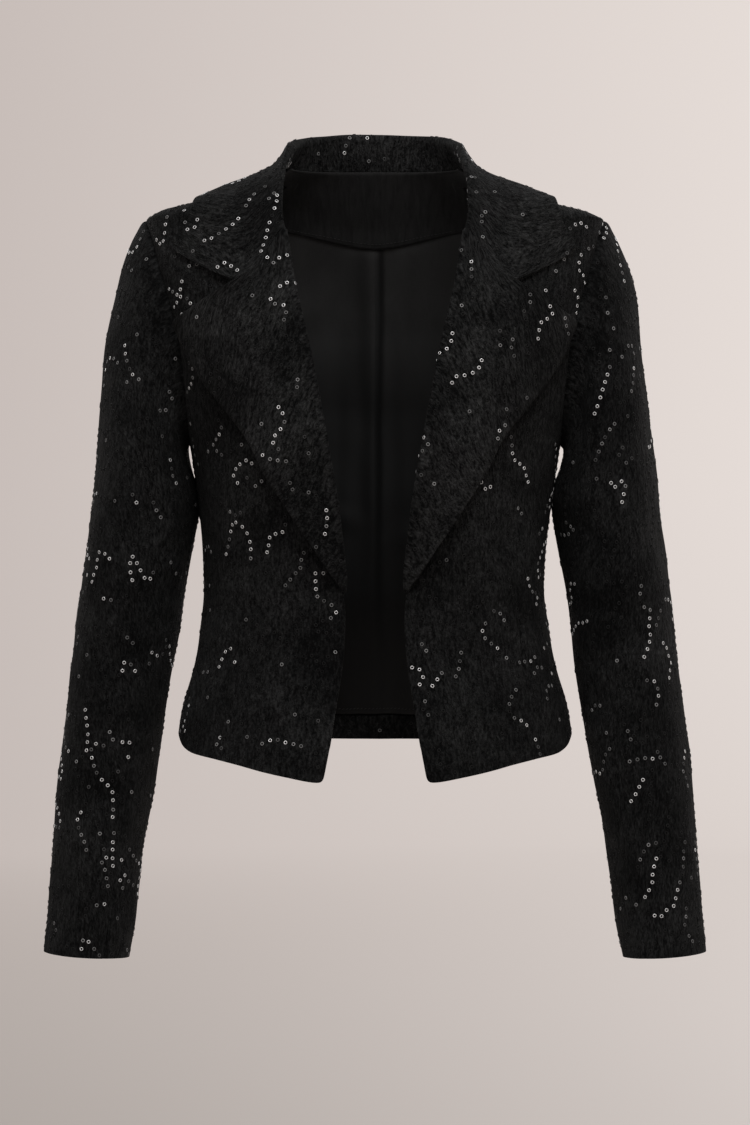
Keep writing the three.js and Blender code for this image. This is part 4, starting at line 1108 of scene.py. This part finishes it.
# The collar and facings get a lighter copy of the same knit: painted light on these pieces
knitPaintedLit = makeKnit("crinkledKnitPaintedLit", knitLook["paintedLitTone"])
plainBlack = makePlain()
satinLining = makeLining()
sequinMaterial = makeSequin()
threadMaterial = makeThread()
print("materials made")

# Fronts, facings and lapels
frontLevels = bodyLevels(56)
lapelRows = [i for i, z in enumerate(frontLevels) if breakZ - 1 <= z <= gorgeZ + 0.4]
frontLevels[lapelRows[0]] = breakZ
frontLevels[lapelRows[-1]] = gorgeZ
facingOff = clothThick / 2 + lapelShape["facingGap"] + lapelShape["facingThick"] / 2
facingLowZ = hemZ + 20
sheetsMade = {}
faces = {}


def lapelLayers(side, places, normals):
    rows = np.array(lapelRows)
    roll, rollNormals = places[rows, 0], normals[rows, 0]
    grid = lapelGrid(frontLevels[rows], roll, rollNormals)
    own = -gridNormals(grid)
    own[:, 0] = rollNormals
    own[0] = rollNormals[0]
    own[1] = unit(own[2] + rollNormals[1])
    real = onSide(grid, side)
    columnShare = np.linspace(0, 1, grid.shape[1])[None]
    rowShare = np.linspace(0, 1, grid.shape[0])[:, None]
    rowEase = smoothStep(0.05, 0.4, rowShare) * smoothStep(1, 0.88, rowShare)
    ease = smoothStep(0.05, 0.3, columnShare) * rowEase
    wave = softWaves(real, seeds["lapel"], lapelShape["waveLong"], (1, 1, 1.3)) * ease
    return grid + own * (wave * lapelShape["waveDeep"])[..., None], own


# The facing lies on the lapel's other side, turns round its edge, and runs on inside the front.
def facingLayers(places, normals, lapel, lapelNormals):
    rows = [i for i, z in enumerate(frontLevels) if facingLowZ <= z <= gorgeZ + 0.4]
    strip = np.ix_(rows, range(lapelShape["stripColumns"]))
    inner = places[strip] - normals[strip] * facingOff
    upShare = smoothStep(0.05, 0.2, np.linspace(0, 1, len(lapel)))[:, None]
    curl = np.zeros(lapel.shape[:2])
    curl[:, -2:] = lapelShape["edgeCurl"]
    turned = lapel - lapelNormals * (facingOff - curl * upShare)[..., None]
    turned[:, -1] += unit(lapel[:, -1] - lapel[:, -2]) * lapelShape["edgeReach"] * upShare
    turned[:, 0] = places[lapelRows, 0] - normals[lapelRows, 0] * facingOff
    turned[0] = turned[0, 0]
    return strip, inner, turned


for side, word in bothSides:
    places, normals, cloth = frontBody(side, frontLevels)
    places = roundedCorner(places, 0, 0, frontShape["cornerRound"])
    lapel, lapelNormals = lapelLayers(side, places, normals)
    lapelOut = lapel[:, ::-1]
    lapelCloth = measuredCloth(lapel, lapelShape["grainTilt"])[:, ::-1]
    sheetsMade[f"front_{word}"] = clothPiece(
        f"front_{word}_knit",
        [sided(places, cloth, side), sided(lapelOut, lapelCloth, side)],
        clothThick, knit, [f"front_{word}"],
    )
    faces[f"front_{word}"] = (places, normals, cloth, side)

    strip, inner, turned = facingLayers(places, normals, lapel, lapelNormals)
    sheetsMade[f"facing_{word}"] = clothPiece(
        f"facing_{word}_knit",
        [sided(inner, cloth[strip], side), sided(turned[:, ::-1], lapelCloth, side)],
        lapelShape["facingThick"], knitPaintedLit, [f"facing_{word}"],
    )
    faces[f"facing_{word}"] = (turned, -lapelNormals, lapelCloth[:, ::-1], side)
    if side > 0:
        gorgeSandwich = lapel[-1] - lapelNormals[-1] * (facingOff / 2 + 0.05)
        foldLast = lapelShape["foldCells"]
        notchAt = foldLast + round(lapelShape["fallCells"] * lapelShape["notchShare"])
        gorgeFold = gorgeSandwich[: foldLast + 1]
        gorgeFall = gorgeSandwich[foldLast : notchAt + 1]
print("fronts and facings made")


# The back, its lining and the bands inside it
def backTurnsAt(z, count):
    start = float(outerTurn(z, False))
    half, wanted, whole = turnsAlong(start, math.pi, z, lambda w, at: mirrorSteps(w, count))
    turns = np.concatenate([half, 2 * math.pi - half[-2::-1]])
    return turns, np.concatenate([wanted, 2 * whole - wanted[-2::-1]]), whole


# Even lengths from a side to the centre back, close together at the side seam
def mirrorSteps(whole, count):
    return list(seamSteps[:-1]) + list(np.linspace(seamSteps[-1], whole, count))


def backGrid(levels, offset=0.0, dip=True):
    places, normals, cloth = [], [], []
    for z in levels:
        turns, wanted, whole = backTurnsAt(z, backShape["halfColumns"])
        low = droppedZ(z, bodyForm(turns, np.full(len(turns), z))[:, 0], False)
        place, normal = drapedBody(turns, low)
        out = np.abs(place[:, 0])
        aside = out - backDartOut(z)
        topZ = backShape["dartTopZ"]
        deep = backShape["dartDeep"] * smoothStep(topZ + 6, topZ - 30, z)
        groove = dartGroove(aside, deep, backShape["dartWide"], backShape["ridgeWide"])
        seam = seamDip(np.minimum(wanted, 2 * whole - wanted)) + (seamDip(abs(z)) if z > -6 else 0)
        if not dip:
            seam = seam * 0
            groove = groove * 0.4
        places.append(place - normal * (groove + seam + offset)[:, None])
        normals.append(normal)
        cloth.append(np.stack([wanted - whole, low], -1))
    return [np.array(rows) for rows in (places, normals, cloth)]


backLevels = bodyLevels(56)
places, normals, cloth = backGrid(backLevels)
sheetsMade["back"] = clothPiece("back_knit", [(places, cloth)], clothThick, knit, ["back"])
faces["back"] = (places, normals, cloth, 1)

liningShape = {
    "thick": 1.2,
    "gap": 0.45,
    "halfColumns": 40,
    "sideInset": 4,
    "lowZ": -467,
    "underFacing": 3,
    "neckHighZ": 1.8,
    "neckLowCentre": -62,
    "neckLowSide": -8,
    "neckRise": 21,
    "neckRiseOut": 81,
    "neckLowPower": 1.6,
    "pleatAt": 3.4,
    "pleatDeep": 5.2,
    "pleatStep": 0.9,
    "pleatReach": 15,
    "pleatLowShare": 0.35,
    "rippleTopShare": 0.82,
    "seamSharp": 25,
    "seamFlat": 0.55,
    "leftPuckers": 0.35,
    "facingOff": 0.25,
    "facingOver": 1.3,
    "facingWave": 26,
    "facingDeep": 0.3,
    # centre across, width, height at the hem, height at the neck
    "ripples": [
        (-88, 13, 2.6, 0.3), (-54, 10, 1.9, 0.4), (-30, 8, 3.2, 1.2), (27, 9, 2.2, 2.0),
        (47, 10, 2.6, 0.9), (83, 13, 2.8, 0.4), (118, 12, 1.8, 0.2), (-120, 12, 1.9, 0.3),
    ],
    "topPuckerWave": 8.5,
    "topPuckerDeep": 0.5,
}
liningMid = clothThick / 2 + liningShape["gap"] + liningShape["thick"] / 2


def neckLowAt(x):
    share = np.abs(x) / liningShape["neckRiseOut"]
    rise = liningShape["neckRise"] * share ** liningShape["neckLowPower"]
    return np.minimum(liningShape["neckLowCentre"] + rise, liningShape["neckLowSide"])


def liningLowAt(x):
    return liningShape["lowZ"] - np.minimum(0, backHemDropAt(np.abs(x)))


# A layer that lies inside the back between two height curves
def insideBack(lowZ, highZ, rows, lift):
    grid, normalGrid, clothGrid = [], [], []
    for share in np.linspace(0, 1, rows):
        base = mix(lowZ(0.0), highZ(0.0), share)
        turns, _, whole = backTurnsAt(base, liningShape["halfColumns"])
        x = bodyForm(turns, np.full(len(turns), base))[:, 0]
        z = mix(lowZ(x), highZ(x), share)
        inset = np.clip(liningShape["sideInset"] / whole, 0, 1)
        starts = np.array([float(outerTurn(value, False)) for value in z])
        centred = (turns - math.pi) / (turns[-1] - math.pi)
        turns = math.pi + centred * (math.pi - starts) * (1 - inset)
        place, normal = drapedBody(turns, z)
        amount = lift(place[:, 0], z, share)
        grid.append(place - normal * (liningMid + amount)[:, None])
        normalGrid.append(normal)
        clothGrid.append(np.stack([place[:, 0] * 1.25, z], -1))
    return [np.array(rows) for rows in (grid, normalGrid, clothGrid)]


def liningLift(x, z, share):
    down = 1 - share
    x = x - liningShape["pleatAt"]
    lift = np.zeros_like(x)
    for middle, wide, low, high in liningShape["ripples"]:
        drift = middle * mix(liningShape["rippleTopShare"], 1, down)
        lift = lift + mix(high, low, down**1.3) * bump(x - drift, wide)
    fade = mix(1, liningShape["pleatLowShare"], smoothStep(0.35, 1, down))
    edge = smoothStep(0.4, -liningShape["pleatStep"], x)
    lap = np.where(x < 0, bump(x, liningShape["pleatReach"]) * edge, 0)
    lift = lift + liningShape["pleatDeep"] * fade * lap
    seam = np.exp(-((down * liningShape["seamSharp"]) ** 1.4))
    puckers = 0.5 + 0.5 * np.cos(2 * math.pi * x / liningShape["topPuckerWave"] + 2.2 * np.sin(x / 23))
    strength = mix(liningShape["leftPuckers"], 1, smoothStep(8, 70, x))
    gathers = liningShape["topPuckerDeep"] * puckers * seam * strength
    return (lift * (1 - liningShape["seamFlat"] * seam) + gathers) * smoothStep(0.006, 0.02, down)


liningGrid, liningNormals, liningCloth = insideBack(
    liningLowAt, lambda x: neckLowAt(x) + liningShape["underFacing"], 90, liningLift
)
sheetsMade["lining_back"] = clothPiece(
    "lining_back_satin", [(liningGrid, liningCloth)], liningShape["thick"],
    satinLining, ["lining_back"],
)


def neckFacingLift(x, z, share):
    waves = 0.5 + 0.5 * softWaves(asPoints(x, 0 * x, z), seeds["neckFacing"], liningShape["facingWave"])
    over = liningShape["facingOver"] * smoothStep(0.3, 0.05, share)
    ease = smoothStep(0, 0.2, share) * smoothStep(1, 0.8, share)
    return liningShape["facingOff"] + over + liningShape["facingDeep"] * waves * ease


neckGrid, neckNormals, neckCloth = insideBack(
    neckLowAt, lambda x: liningShape["neckHighZ"] + 0 * x, 14, neckFacingLift
)
sheetsMade["neck_facing"] = clothPiece(
    "neck_facing_plain", [(neckGrid, neckCloth)], liningShape["thick"],
    plainBlack, ["neck_facing"],
)
print("back and lining made")

# The turned-up hem inside the body, from one front edge round to the other
hemShape = {"tall": 21, "thick": 1.1, "gap": 0.25, "startColumn": 3}
hemOff = clothThick / 2 + hemShape["gap"] + hemShape["thick"] / 2
insideHem = hemOff + 0.15
hemLevels = hemZ + np.array([0.6, 2.5, 7, 12, 17, 19.5, hemShape["tall"]])
for side, word in bothSides:
    places, normals, cloth = frontBody(side, hemLevels)
    start = hemShape["startColumn"]
    places = places[:, start:] - normals[:, start:] * insideHem
    name = f"hem_turn_{word}"
    grids = [sided(places, cloth[:, start:], side)]
    sheetsMade[name] = clothPiece(name, grids, hemShape["thick"], knit)
places, normals, cloth = backGrid(hemLevels, insideHem, False)
sheetsMade["hem_turn_back"] = clothPiece("hem_turn_back", [(places, cloth)], hemShape["thick"], knit)
faces["hem_turn_back"] = (places, -normals, cloth, 1)

# Sleeves, each of an upper and an under part, with the cuff turned up inside
capLevels = np.concatenate([[0, 0.006, 0.016, 0.03], np.linspace(0.055, 1, 30)])
armLevels = 1 + np.concatenate([np.linspace(0, 1, 72)[1:-1], [0.9965, 0.9988, 1]])
sleeveLevels = np.concatenate([capLevels, armLevels])[::-1]
cuffTop = sleeveShape["cuffTurn"] / (capZ - cuffZ)
cuffLevels = 2 - np.array([0.0015, 0.006, 0.02, 0.035, 0.05, 0.062, cuffTop])
firstSeam, secondSeam = [math.radians(turn) for turn in sleeveShape["seamTurns"]]


def sleeveGrid(startTurn, endTurn, count, side, levels, offset=0.0):
    fromStart = np.array(evenSteps(count, (endTurn - startTurn) * sleeveShape["round"]))
    turn, level = np.meshgrid(startTurn + fromStart / sleeveShape["round"], levels)
    places, normals = drapedSleeve(turn, level, side)
    border = seamDip(np.minimum(fromStart, fromStart[-1] - fromStart))[None]
    down = np.linalg.norm(np.diff(places, axis=0, append=places[-1:]), axis=-1)
    fromCap = np.cumsum(down[::-1], axis=0)[::-1]
    cap = seamDip(fromCap, 0.6, 2.4) * (level < 1)
    places = places - normals * (border + cap + offset)[..., None]
    cloth = np.stack([turn * sleeveShape["round"], 0.5 * (places[..., 2] - fromCap)], -1)
    return places, normals, cloth


for side, word in bothSides:
    for part, start, end, count in (
        ("upper", firstSeam, secondSeam, 46),
        ("under", secondSeam, firstSeam + 2 * math.pi, 28),
    ):
        places, normals, cloth = sleeveGrid(start, end, count, side, sleeveLevels)
        name = f"sleeve_{part}_{word}"
        grids = [sided(places, cloth, side)]
        sheetsMade[name] = clothPiece(name + "_knit", grids, clothThick, knit, [name])
        faces[name] = (places, normals, cloth, side)
        places, normals, cloth = sleeveGrid(start, end, count, side, cuffLevels, hemOff)
        name = f"cuff_{part}_{word}"
        sheetsMade[name] = clothPiece(name, [sided(places, cloth, side)], hemShape["thick"], knit)
print("sleeves made")

# Collar: the stand, the roll and the fall in one piece
collarParts = (np.linspace(0, 0.12, 7)[:-1], np.linspace(0.12, 1, 26)[:-1], np.linspace(1, 2, 24))
collarAts = np.concatenate(collarParts)
halfCollar = collarHalf(collarAts, gorgeFold, gorgeFall)
collarGrid = np.concatenate([halfCollar, halfCollar[-2::-1] * np.array([-1, 1, 1])])
collarNormals = gridNormals(collarGrid)
rowShare = np.abs(np.linspace(-1, 1, len(collarGrid)))
columnShare = np.linspace(0, 1, collarGrid.shape[1])
ease = smoothStep(1, 0.86, rowShare)[:, None] * smoothStep(0, 0.15, columnShare)[None]
wave = softWaves(collarGrid, seeds["collar"], collarShape["waveLong"]) * collarShape["waveDeep"] * ease
collarGrid = collarGrid + collarNormals * wave[..., None]
collarCloth = measuredCloth(collarGrid)[..., ::-1]
sheetsMade["collar"] = clothPiece(
    "collar_knit", [(collarGrid[:, ::-1], collarCloth[:, ::-1])], collarShape["thick"],
    knitPaintedLit, ["collar"],
)
faces["collar"] = (collarGrid, gridNormals(collarGrid), collarCloth, 1)
print("collar made")

# Sequins along wandering lines
sequinShape = {
    "outer": 1.7,
    "crown": 1.26,
    "inner": 0.84,
    "high": 0.34,
    "innerHigh": 0.12,
    "under": -0.02,
    "segments": 10,
    "spacing": 6.9,
    "lineWave": 47,
    "bendWave": 27,
    "bendShare": 0.62,
    "edgeMargin": 2.6,
    "tilt": 0.13,
    "bright": 0.125,
    "middling": 0.15,
    "runLength": 6,
    "glintSpread": 0.36,
    "lookFrom": 4,
    "lookReach": 9,
    "clothShare": 0.6,
    "off": 0.12,
}


# A grid with its middles put in, first between rows and then between columns
def finer(grid):
    for _ in range(2):
        made = np.empty((2 * len(grid) - 1, *grid.shape[1:]))
        made[::2] = grid
        made[1::2] = (grid[1:] + grid[:-1]) / 2
        grid = made.swapaxes(0, 1)
    return grid


# Lines where the field changes sign, as lists of (row, column) places on the grid
def signLines(field):
    links = {}
    sign = field > 0
    corner = sign[:-1, :-1]
    mixed = (corner != sign[1:, :-1]) | (corner != sign[:-1, 1:]) | (corner != sign[1:, 1:])
    for r, c in zip(*np.nonzero(mixed)):
        corners = [(r, c), (r, c + 1), (r + 1, c + 1), (r + 1, c)]
        crossed = []
        for k in range(4):
            a, b = corners[k], corners[(k + 1) % 4]
            if sign[a] != sign[b]:
                crossed.append((min(a, b), max(a, b)))
        for first, second in zip(crossed[::2], crossed[1::2]):
            links.setdefault(first, []).append(second)
            links.setdefault(second, []).append(first)
    lines = []
    waiting = sorted(links, key=lambda edge: (len(links[edge]), edge))
    used = set()
    for start in waiting:
        if start in used:
            continue
        line = [start]
        used.add(start)
        while True:
            after = [edge for edge in links[line[-1]] if edge not in used]
            if not after:
                break
            line.append(after[0])
            used.add(after[0])
        if links[line[-1]].count(start) and len(line) > 3:
            line.append(start)
        spots = []
        for a, b in line:
            t = field[a] / (field[a] - field[b])
            spots.append((mix(a[0], b[0], t), mix(a[1], b[1], t)))
        lines.append(np.array(spots))
    return lines


def sample(grid, spots):
    r = np.clip(spots[:, 0], 0, grid.shape[0] - 1.001)
    c = np.clip(spots[:, 1], 0, grid.shape[1] - 1.001)
    i, j = r.astype(int), c.astype(int)
    t, s = (r - i)[:, None], (c - j)[:, None]
    low = mix(grid[i, j], grid[i, j + 1], s)
    return mix(low, mix(grid[i + 1, j], grid[i + 1, j + 1], s), t)


def borderDistance(grid):
    across = np.linalg.norm(np.diff(grid, axis=1), axis=-1)
    along = np.linalg.norm(np.diff(grid, axis=0), axis=-1)
    left = np.concatenate([np.zeros((len(grid), 1)), np.cumsum(across, 1)], 1)
    low = np.concatenate([np.zeros((1, grid.shape[1])), np.cumsum(along, 0)], 0)
    return np.minimum(np.minimum(left, left[:, -1:] - left), np.minimum(low, low[-1:] - low))


def sequinSpots(places, normals, cloth, seed):
    places, normals, cloth = finer(places), finer(normals), finer(cloth)
    rng = np.random.default_rng(seed)
    field = 0
    bends = (sequinShape["bendWave"], sequinShape["bendShare"])
    for long, share in ((sequinShape["lineWave"], 1.0), bends):
        ways = rng.uniform(0, 2 * math.pi, 32)
        wave = long * rng.uniform(0.85, 1.18, 32)
        waves = np.stack([np.cos(ways), np.sin(ways)], -1) * (2 * math.pi / wave)[:, None]
        field = field + share * np.cos(cloth @ waves.T + rng.uniform(0, 2 * math.pi, 32)).sum(-1)
    border = borderDistance(places)[..., None]
    kept, facing, running, glints = [], [], [], []
    for line in signLines(field):
        track = sample(places, line)
        lengths = lengthsAlong(track)
        whole = lengths[-1]
        if whole < 3 * sequinShape["spacing"]:
            continue
        steps = np.arange(rng.uniform(0.2, 3), whole - 1.5, sequinShape["spacing"])
        steps = steps + rng.normal(0, 0.3, len(steps))
        spots = takenAt(steps, lengths, line)
        ahead = takenAt(steps + 1, lengths, line)
        clear = sample(border, spots)[:, 0] > sequinShape["edgeMargin"]
        place = sample(places, spots)
        # Painted glints come in runs of neighbouring rings along each line
        run = sequinShape["runLength"]
        runs = rng.normal(0, 1, len(steps) // run + 2)
        glint = runs[np.arange(len(steps)) // run] + rng.normal(0, sequinShape["glintSpread"], len(steps))
        kept.append(place[clear])
        facing.append(unit(sample(normals, spots))[clear])
        running.append((sample(places, ahead) - place)[clear])
        glints.append(glint[clear])
    if not kept:
        return None
    kept, facing, running, glints = [np.concatenate(rows) for rows in (kept, facing, running, glints)]
    glints = glints + 0.3 * softWaves(kept, seed + 7, 150)
    return kept, facing, running, glints, rng


# The painted glint of each ring: the brightest share silver, a middling share grey, the rest dark
def paintedGlintOf(glints, rng):
    order = np.argsort(np.argsort(-glints)) / max(1, len(glints))
    bright = order < sequinShape["bright"]
    middling = order < sequinShape["bright"] + sequinShape["middling"]
    paintedShine = rng.uniform(0.0, 0.012, len(glints))
    paintedShine = np.where(middling, rng.uniform(0.04, 0.3, len(glints)), paintedShine)
    return np.where(bright, rng.uniform(0.7, 1.0, len(glints)), paintedShine)


# One mesh of many small alike shapes, from points as (shape, layer, place round the layer, axis)
def joinedShapes(name, points, closed, material):
    count, layers, segments = points.shape[:3]
    quads = []
    for layer in range(layers if closed else layers - 1):
        here, after = layer * segments, (layer + 1) % layers * segments
        for k in range(segments):
            beside = (k + 1) % segments
            quads.append((here + k, here + beside, after + beside, after + k))
    starts = np.arange(count) * segments * layers
    everyQuad = (np.array(quads)[None] + starts[:, None, None]).reshape(-1, 4)
    mesh = bpy.data.meshes.new(name)
    mesh.from_pydata((points.reshape(-1, 3) * mm).tolist(), [], everyQuad.tolist())
    mesh.shade_smooth()
    mesh.materials.append(material)
    piece = placed(name, mesh)
    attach(piece, "root")
    return piece


def ringMesh(name, centres, outs, tangents, paintedShine):
    angles = np.arange(sequinShape["segments"]) * 2 * math.pi / sequinShape["segments"]
    circle = np.stack([np.cos(angles), np.sin(angles)], -1)
    profile = [
        (sequinShape["outer"], 0.0),
        (sequinShape["crown"], sequinShape["high"]),
        (sequinShape["inner"], sequinShape["innerHigh"]),
        (sequinShape["crown"], sequinShape["under"]),
    ]
    side = unit(np.cross(outs, tangents))
    tangents = np.cross(side, outs)
    flat = tangents[:, None] * circle[None, :, :1] + side[:, None] * circle[None, :, 1:]
    rings = [centres[:, None] + flat * reach + outs[:, None] * high for reach, high in profile]
    piece = joinedShapes(name, np.stack(rings, 1), True, sequinMaterial)
    glint = piece.data.attributes.new("glint", "FLOAT", "POINT")
    each = len(profile) * len(angles)
    glint.data.foreach_set("value", np.repeat(paintedShine, each).astype(np.float32))
    return piece


# Sequins are laid on the finished cloth, where it really is.
def laySequins(owner, seed, name):
    places, normals, cloth, side = faces[owner]
    found = sequinSpots(settled(places), normals, cloth, seed)
    if found is None:
        return None
    spots, outs, tangents, glints, rng = found
    turned = np.array([side, 1, 1])
    spots, outs, tangents = spots * turned, outs * turned, tangents * turned
    surface = BVHTree.FromObject(sheetsMade[owner], bpy.context.evaluated_depsgraph_get())
    centres, fronts = [], []
    for spot, out in zip(spots, outs):
        start = Vector((spot + out * sequinShape["lookFrom"]) * mm)
        hit, normal, _, _ = surface.ray_cast(start, Vector(-out), sequinShape["lookReach"] * mm)
        if hit is None:
            hit, normal, _, _ = surface.find_nearest(Vector((spot + out * 1.5) * mm))
        centres.append(np.array(hit) / mm)
        fronts.append(np.array(normal))
    centres, fronts = np.array(centres), np.array(fronts)
    fronts = np.where((fronts * outs).sum(-1, keepdims=True) < 0, -fronts, fronts)
    fronts = unit(mix(outs, fronts, sequinShape["clothShare"]))
    fronts = unit(fronts + rng.normal(0, sequinShape["tilt"] / 2, fronts.shape))
    centres = centres + fronts * sequinShape["off"]
    return ringMesh(name, centres, fronts, tangents, paintedGlintOf(glints, rng))


sequinOn = {}
for number, owner in enumerate(faces):
    made = laySequins(owner, seeds["sequins"] + number, f"sequins_{owner}")
    if made is not None:
        sequinOn[owner] = made
print("sequins sewn on", list(sequinOn))

# Stitches that hold the neck facing and the lining
stitchShape = {"long": 2.4, "step": 3.3, "thick": 0.28, "segments": 6}


def stitchRow(name, line, outs, slant=0.0):
    lengths = lengthsAlong(line)
    steps = np.arange(2, lengths[-1] - 2, stitchShape["step"])
    middle = takenAt(steps, lengths, line)
    out = unit(takenAt(steps, lengths, outs))
    along = unit(takenAt(steps + 1, lengths, line) - middle)
    side = unit(np.cross(out, along))
    along = unit(along + side * slant)
    side = np.cross(out, along)
    points = []
    shape = [(-0.5, 0.25), (-0.32, 0.9), (0.0, 1.0), (0.32, 0.9), (0.5, 0.25)]
    for share, thick in shape:
        for k in range(stitchShape["segments"]):
            angle = 2 * math.pi * k / stitchShape["segments"]
            lift = stitchShape["thick"] * (0.4 + thick * 0.8 * math.sin(angle))
            wide = stitchShape["thick"] * thick * math.cos(angle)
            points.append(middle + along * share * stitchShape["long"] + side * wide + out * lift)
    points = np.stack(points, 1).reshape(len(middle), len(shape), stitchShape["segments"], 3)
    return joinedShapes(name, points, False, threadMaterial)


inward = liningShape["thick"] / 2 + 0.05
neckRow = neckGrid[1] - neckNormals[1] * inward
liningRow = liningGrid[1] - liningNormals[1] * inward
stitchesOn = {
    "neck_facing": stitchRow("stitches_neck_facing", neckRow, -neckNormals[1]),
    "lining_back": stitchRow("stitches_lining_hem", liningRow, -liningNormals[1], 0.5),
}
print("stitches made")

# The sequins and stitches sewn on each sheet
for name, piece in sheetsMade.items():
    sewnOn = [group[name] for group in (sequinOn, stitchesOn) if name in group]

# A round pale studio: the floor turns up into the wall all round
stageShape = {
    "floorZ": -1.02, "radius": 8.5, "curve": 2.2, "curveCells": 16, "high": 5.5, "segments": 96,
}


def makeBackdrop():
    work = bmesh.new()
    flat = stageShape["radius"] - stageShape["curve"]
    line = [(0, 0, stageShape["floorZ"]), (flat / 2, 0, stageShape["floorZ"])]
    for i in range(stageShape["curveCells"] + 1):
        angle = quarterTurn * i / stageShape["curveCells"]
        reach = flat + stageShape["curve"] * math.sin(angle)
        rise = stageShape["curve"] * (1 - math.cos(angle))
        line.append((reach, 0, stageShape["floorZ"] + rise))
    line.append((stageShape["radius"], 0, stageShape["high"]))
    verts = [work.verts.new(place) for place in line]
    edges = [work.edges.new(pair) for pair in zip(verts, verts[1:])]
    bmesh.ops.spin(
        work, geom=verts + edges, cent=(0, 0, 0), axis=(0, 0, 1),
        angle=2 * math.pi, steps=stageShape["segments"], use_duplicate=False,
    )
    bmesh.ops.remove_doubles(work, verts=work.verts, dist=0.0001)
    bmesh.ops.recalc_face_normals(work, faces=work.faces)
    mesh = bpy.data.meshes.new("backdrop")
    work.to_mesh(mesh)
    work.free()
    mesh.shade_smooth()
    piece = placed("backdrop", mesh)
    return piece


backdropLook = {
    "left": (0.565, 0.497, 0.468),
    "right": (0.83, 0.755, 0.715),
    "low": (0.33, 0.283, 0.254),
    "nearReach": 6.0,
    "sideSlope": 0.4,
    "lowStart": 0.85,
    "lowFall": 0.105,
    "lowSide": 0.75,
    "glow": 0.86,
    "paint": 0.12,
}


# The wall glows softly as painted light, paler to the right and darker towards the floor, with a
# painted shadow beneath the garment.
def makeBackdropPaint():
    paint = Paint("paleBackdrop")
    place = paint.place()
    across, ahead, _ = paint.split(place)
    reach = (across * across + ahead * ahead) ** 0.5
    near = paint.ramp(1.0 - reach / backdropLook["nearReach"], [(0.0, 0.0), (1.0, 1.0)])
    sideways = paint.ramp(across * backdropLook["sideSlope"] + 0.5, [(0.0, 0.0), (1.0, 1.0)])
    colour = paint.blend(sideways, (*backdropLook["left"], 1), (*backdropLook["right"], 1))
    # Painted shadow: the floor darkens around the middle, beneath the garment, and more on the left
    aside = across * near * backdropLook["lowSide"]
    floorShade = backdropLook["lowStart"] - reach * backdropLook["lowFall"] - aside
    floorShade = paint.ramp(floorShade, [(0.0, 0.0), (1.0, 1.0)])
    colour = paint.blend(floorShade, colour, (*backdropLook["low"], 1))
    grain = paint.noise(place, 60.0, 3.0, 0.5)
    paint.material.cycles.emission_sampling = "NONE"
    return paint.finish(
        {
            "Base Color": grey(backdropLook["paint"]),
            "Roughness": 0.9,
            "Specular IOR Level": 0.1,
            "Emission Color": colour,
            "Emission Strength": backdropLook["glow"],
        },
        grain, 0.05, 0.0005,
    )


backdrop = makeBackdrop()
backdrop.data.materials.append(makeBackdropPaint())

lightShape = {
    "key": ((0.45, -2.3, 2.3), 1.5, 72),
    "fill": ((-1.9, -2.8, 0.3), 1.6, 20),
    "behindLeft": ((2.0, 2.6, 1.8), 1.6, 34),
    "behindRight": ((-2.2, 2.4, 1.2), 1.6, 22),
}
aim = Vector((0, 0, -0.3))
for name, (place, size, power) in lightShape.items():
    data = bpy.data.lights.new(name, "AREA")
    data.shape = "SQUARE"
    data.size = size
    data.energy = power
    lamp = placed(name, data)
    lamp.location = place
    lamp.rotation_euler = (aim - Vector(place)).to_track_quat("-Z", "Y").to_euler()

worldLook = {"Color": (0.9, 0.9, 0.92, 1), "Strength": 0.5}
world = bpy.data.worlds.new("studio")
world.use_nodes = True
for key, value in worldLook.items():
    world.node_tree.nodes["Background"].inputs[key].default_value = value
bpy.context.scene.world = world
bpy.context.scene.view_settings.view_transform = "Standard"

# Level camera, framed as the photo is
cameraShape = {"place": (0.0, -3.4, -0.3354), "frameHigh": 0.95625, "sensor": 36.0}
data = bpy.data.cameras.new("camera")
data.sensor_fit = "VERTICAL"
data.sensor_height = cameraShape["sensor"]
data.lens = cameraShape["sensor"] * -cameraShape["place"][1] / cameraShape["frameHigh"]
camera = placed("camera", data)
camera.location = cameraShape["place"]
camera.rotation_euler = (quarterTurn, 0, 0)
bpy.context.scene.camera = camera
print("stage and light set")
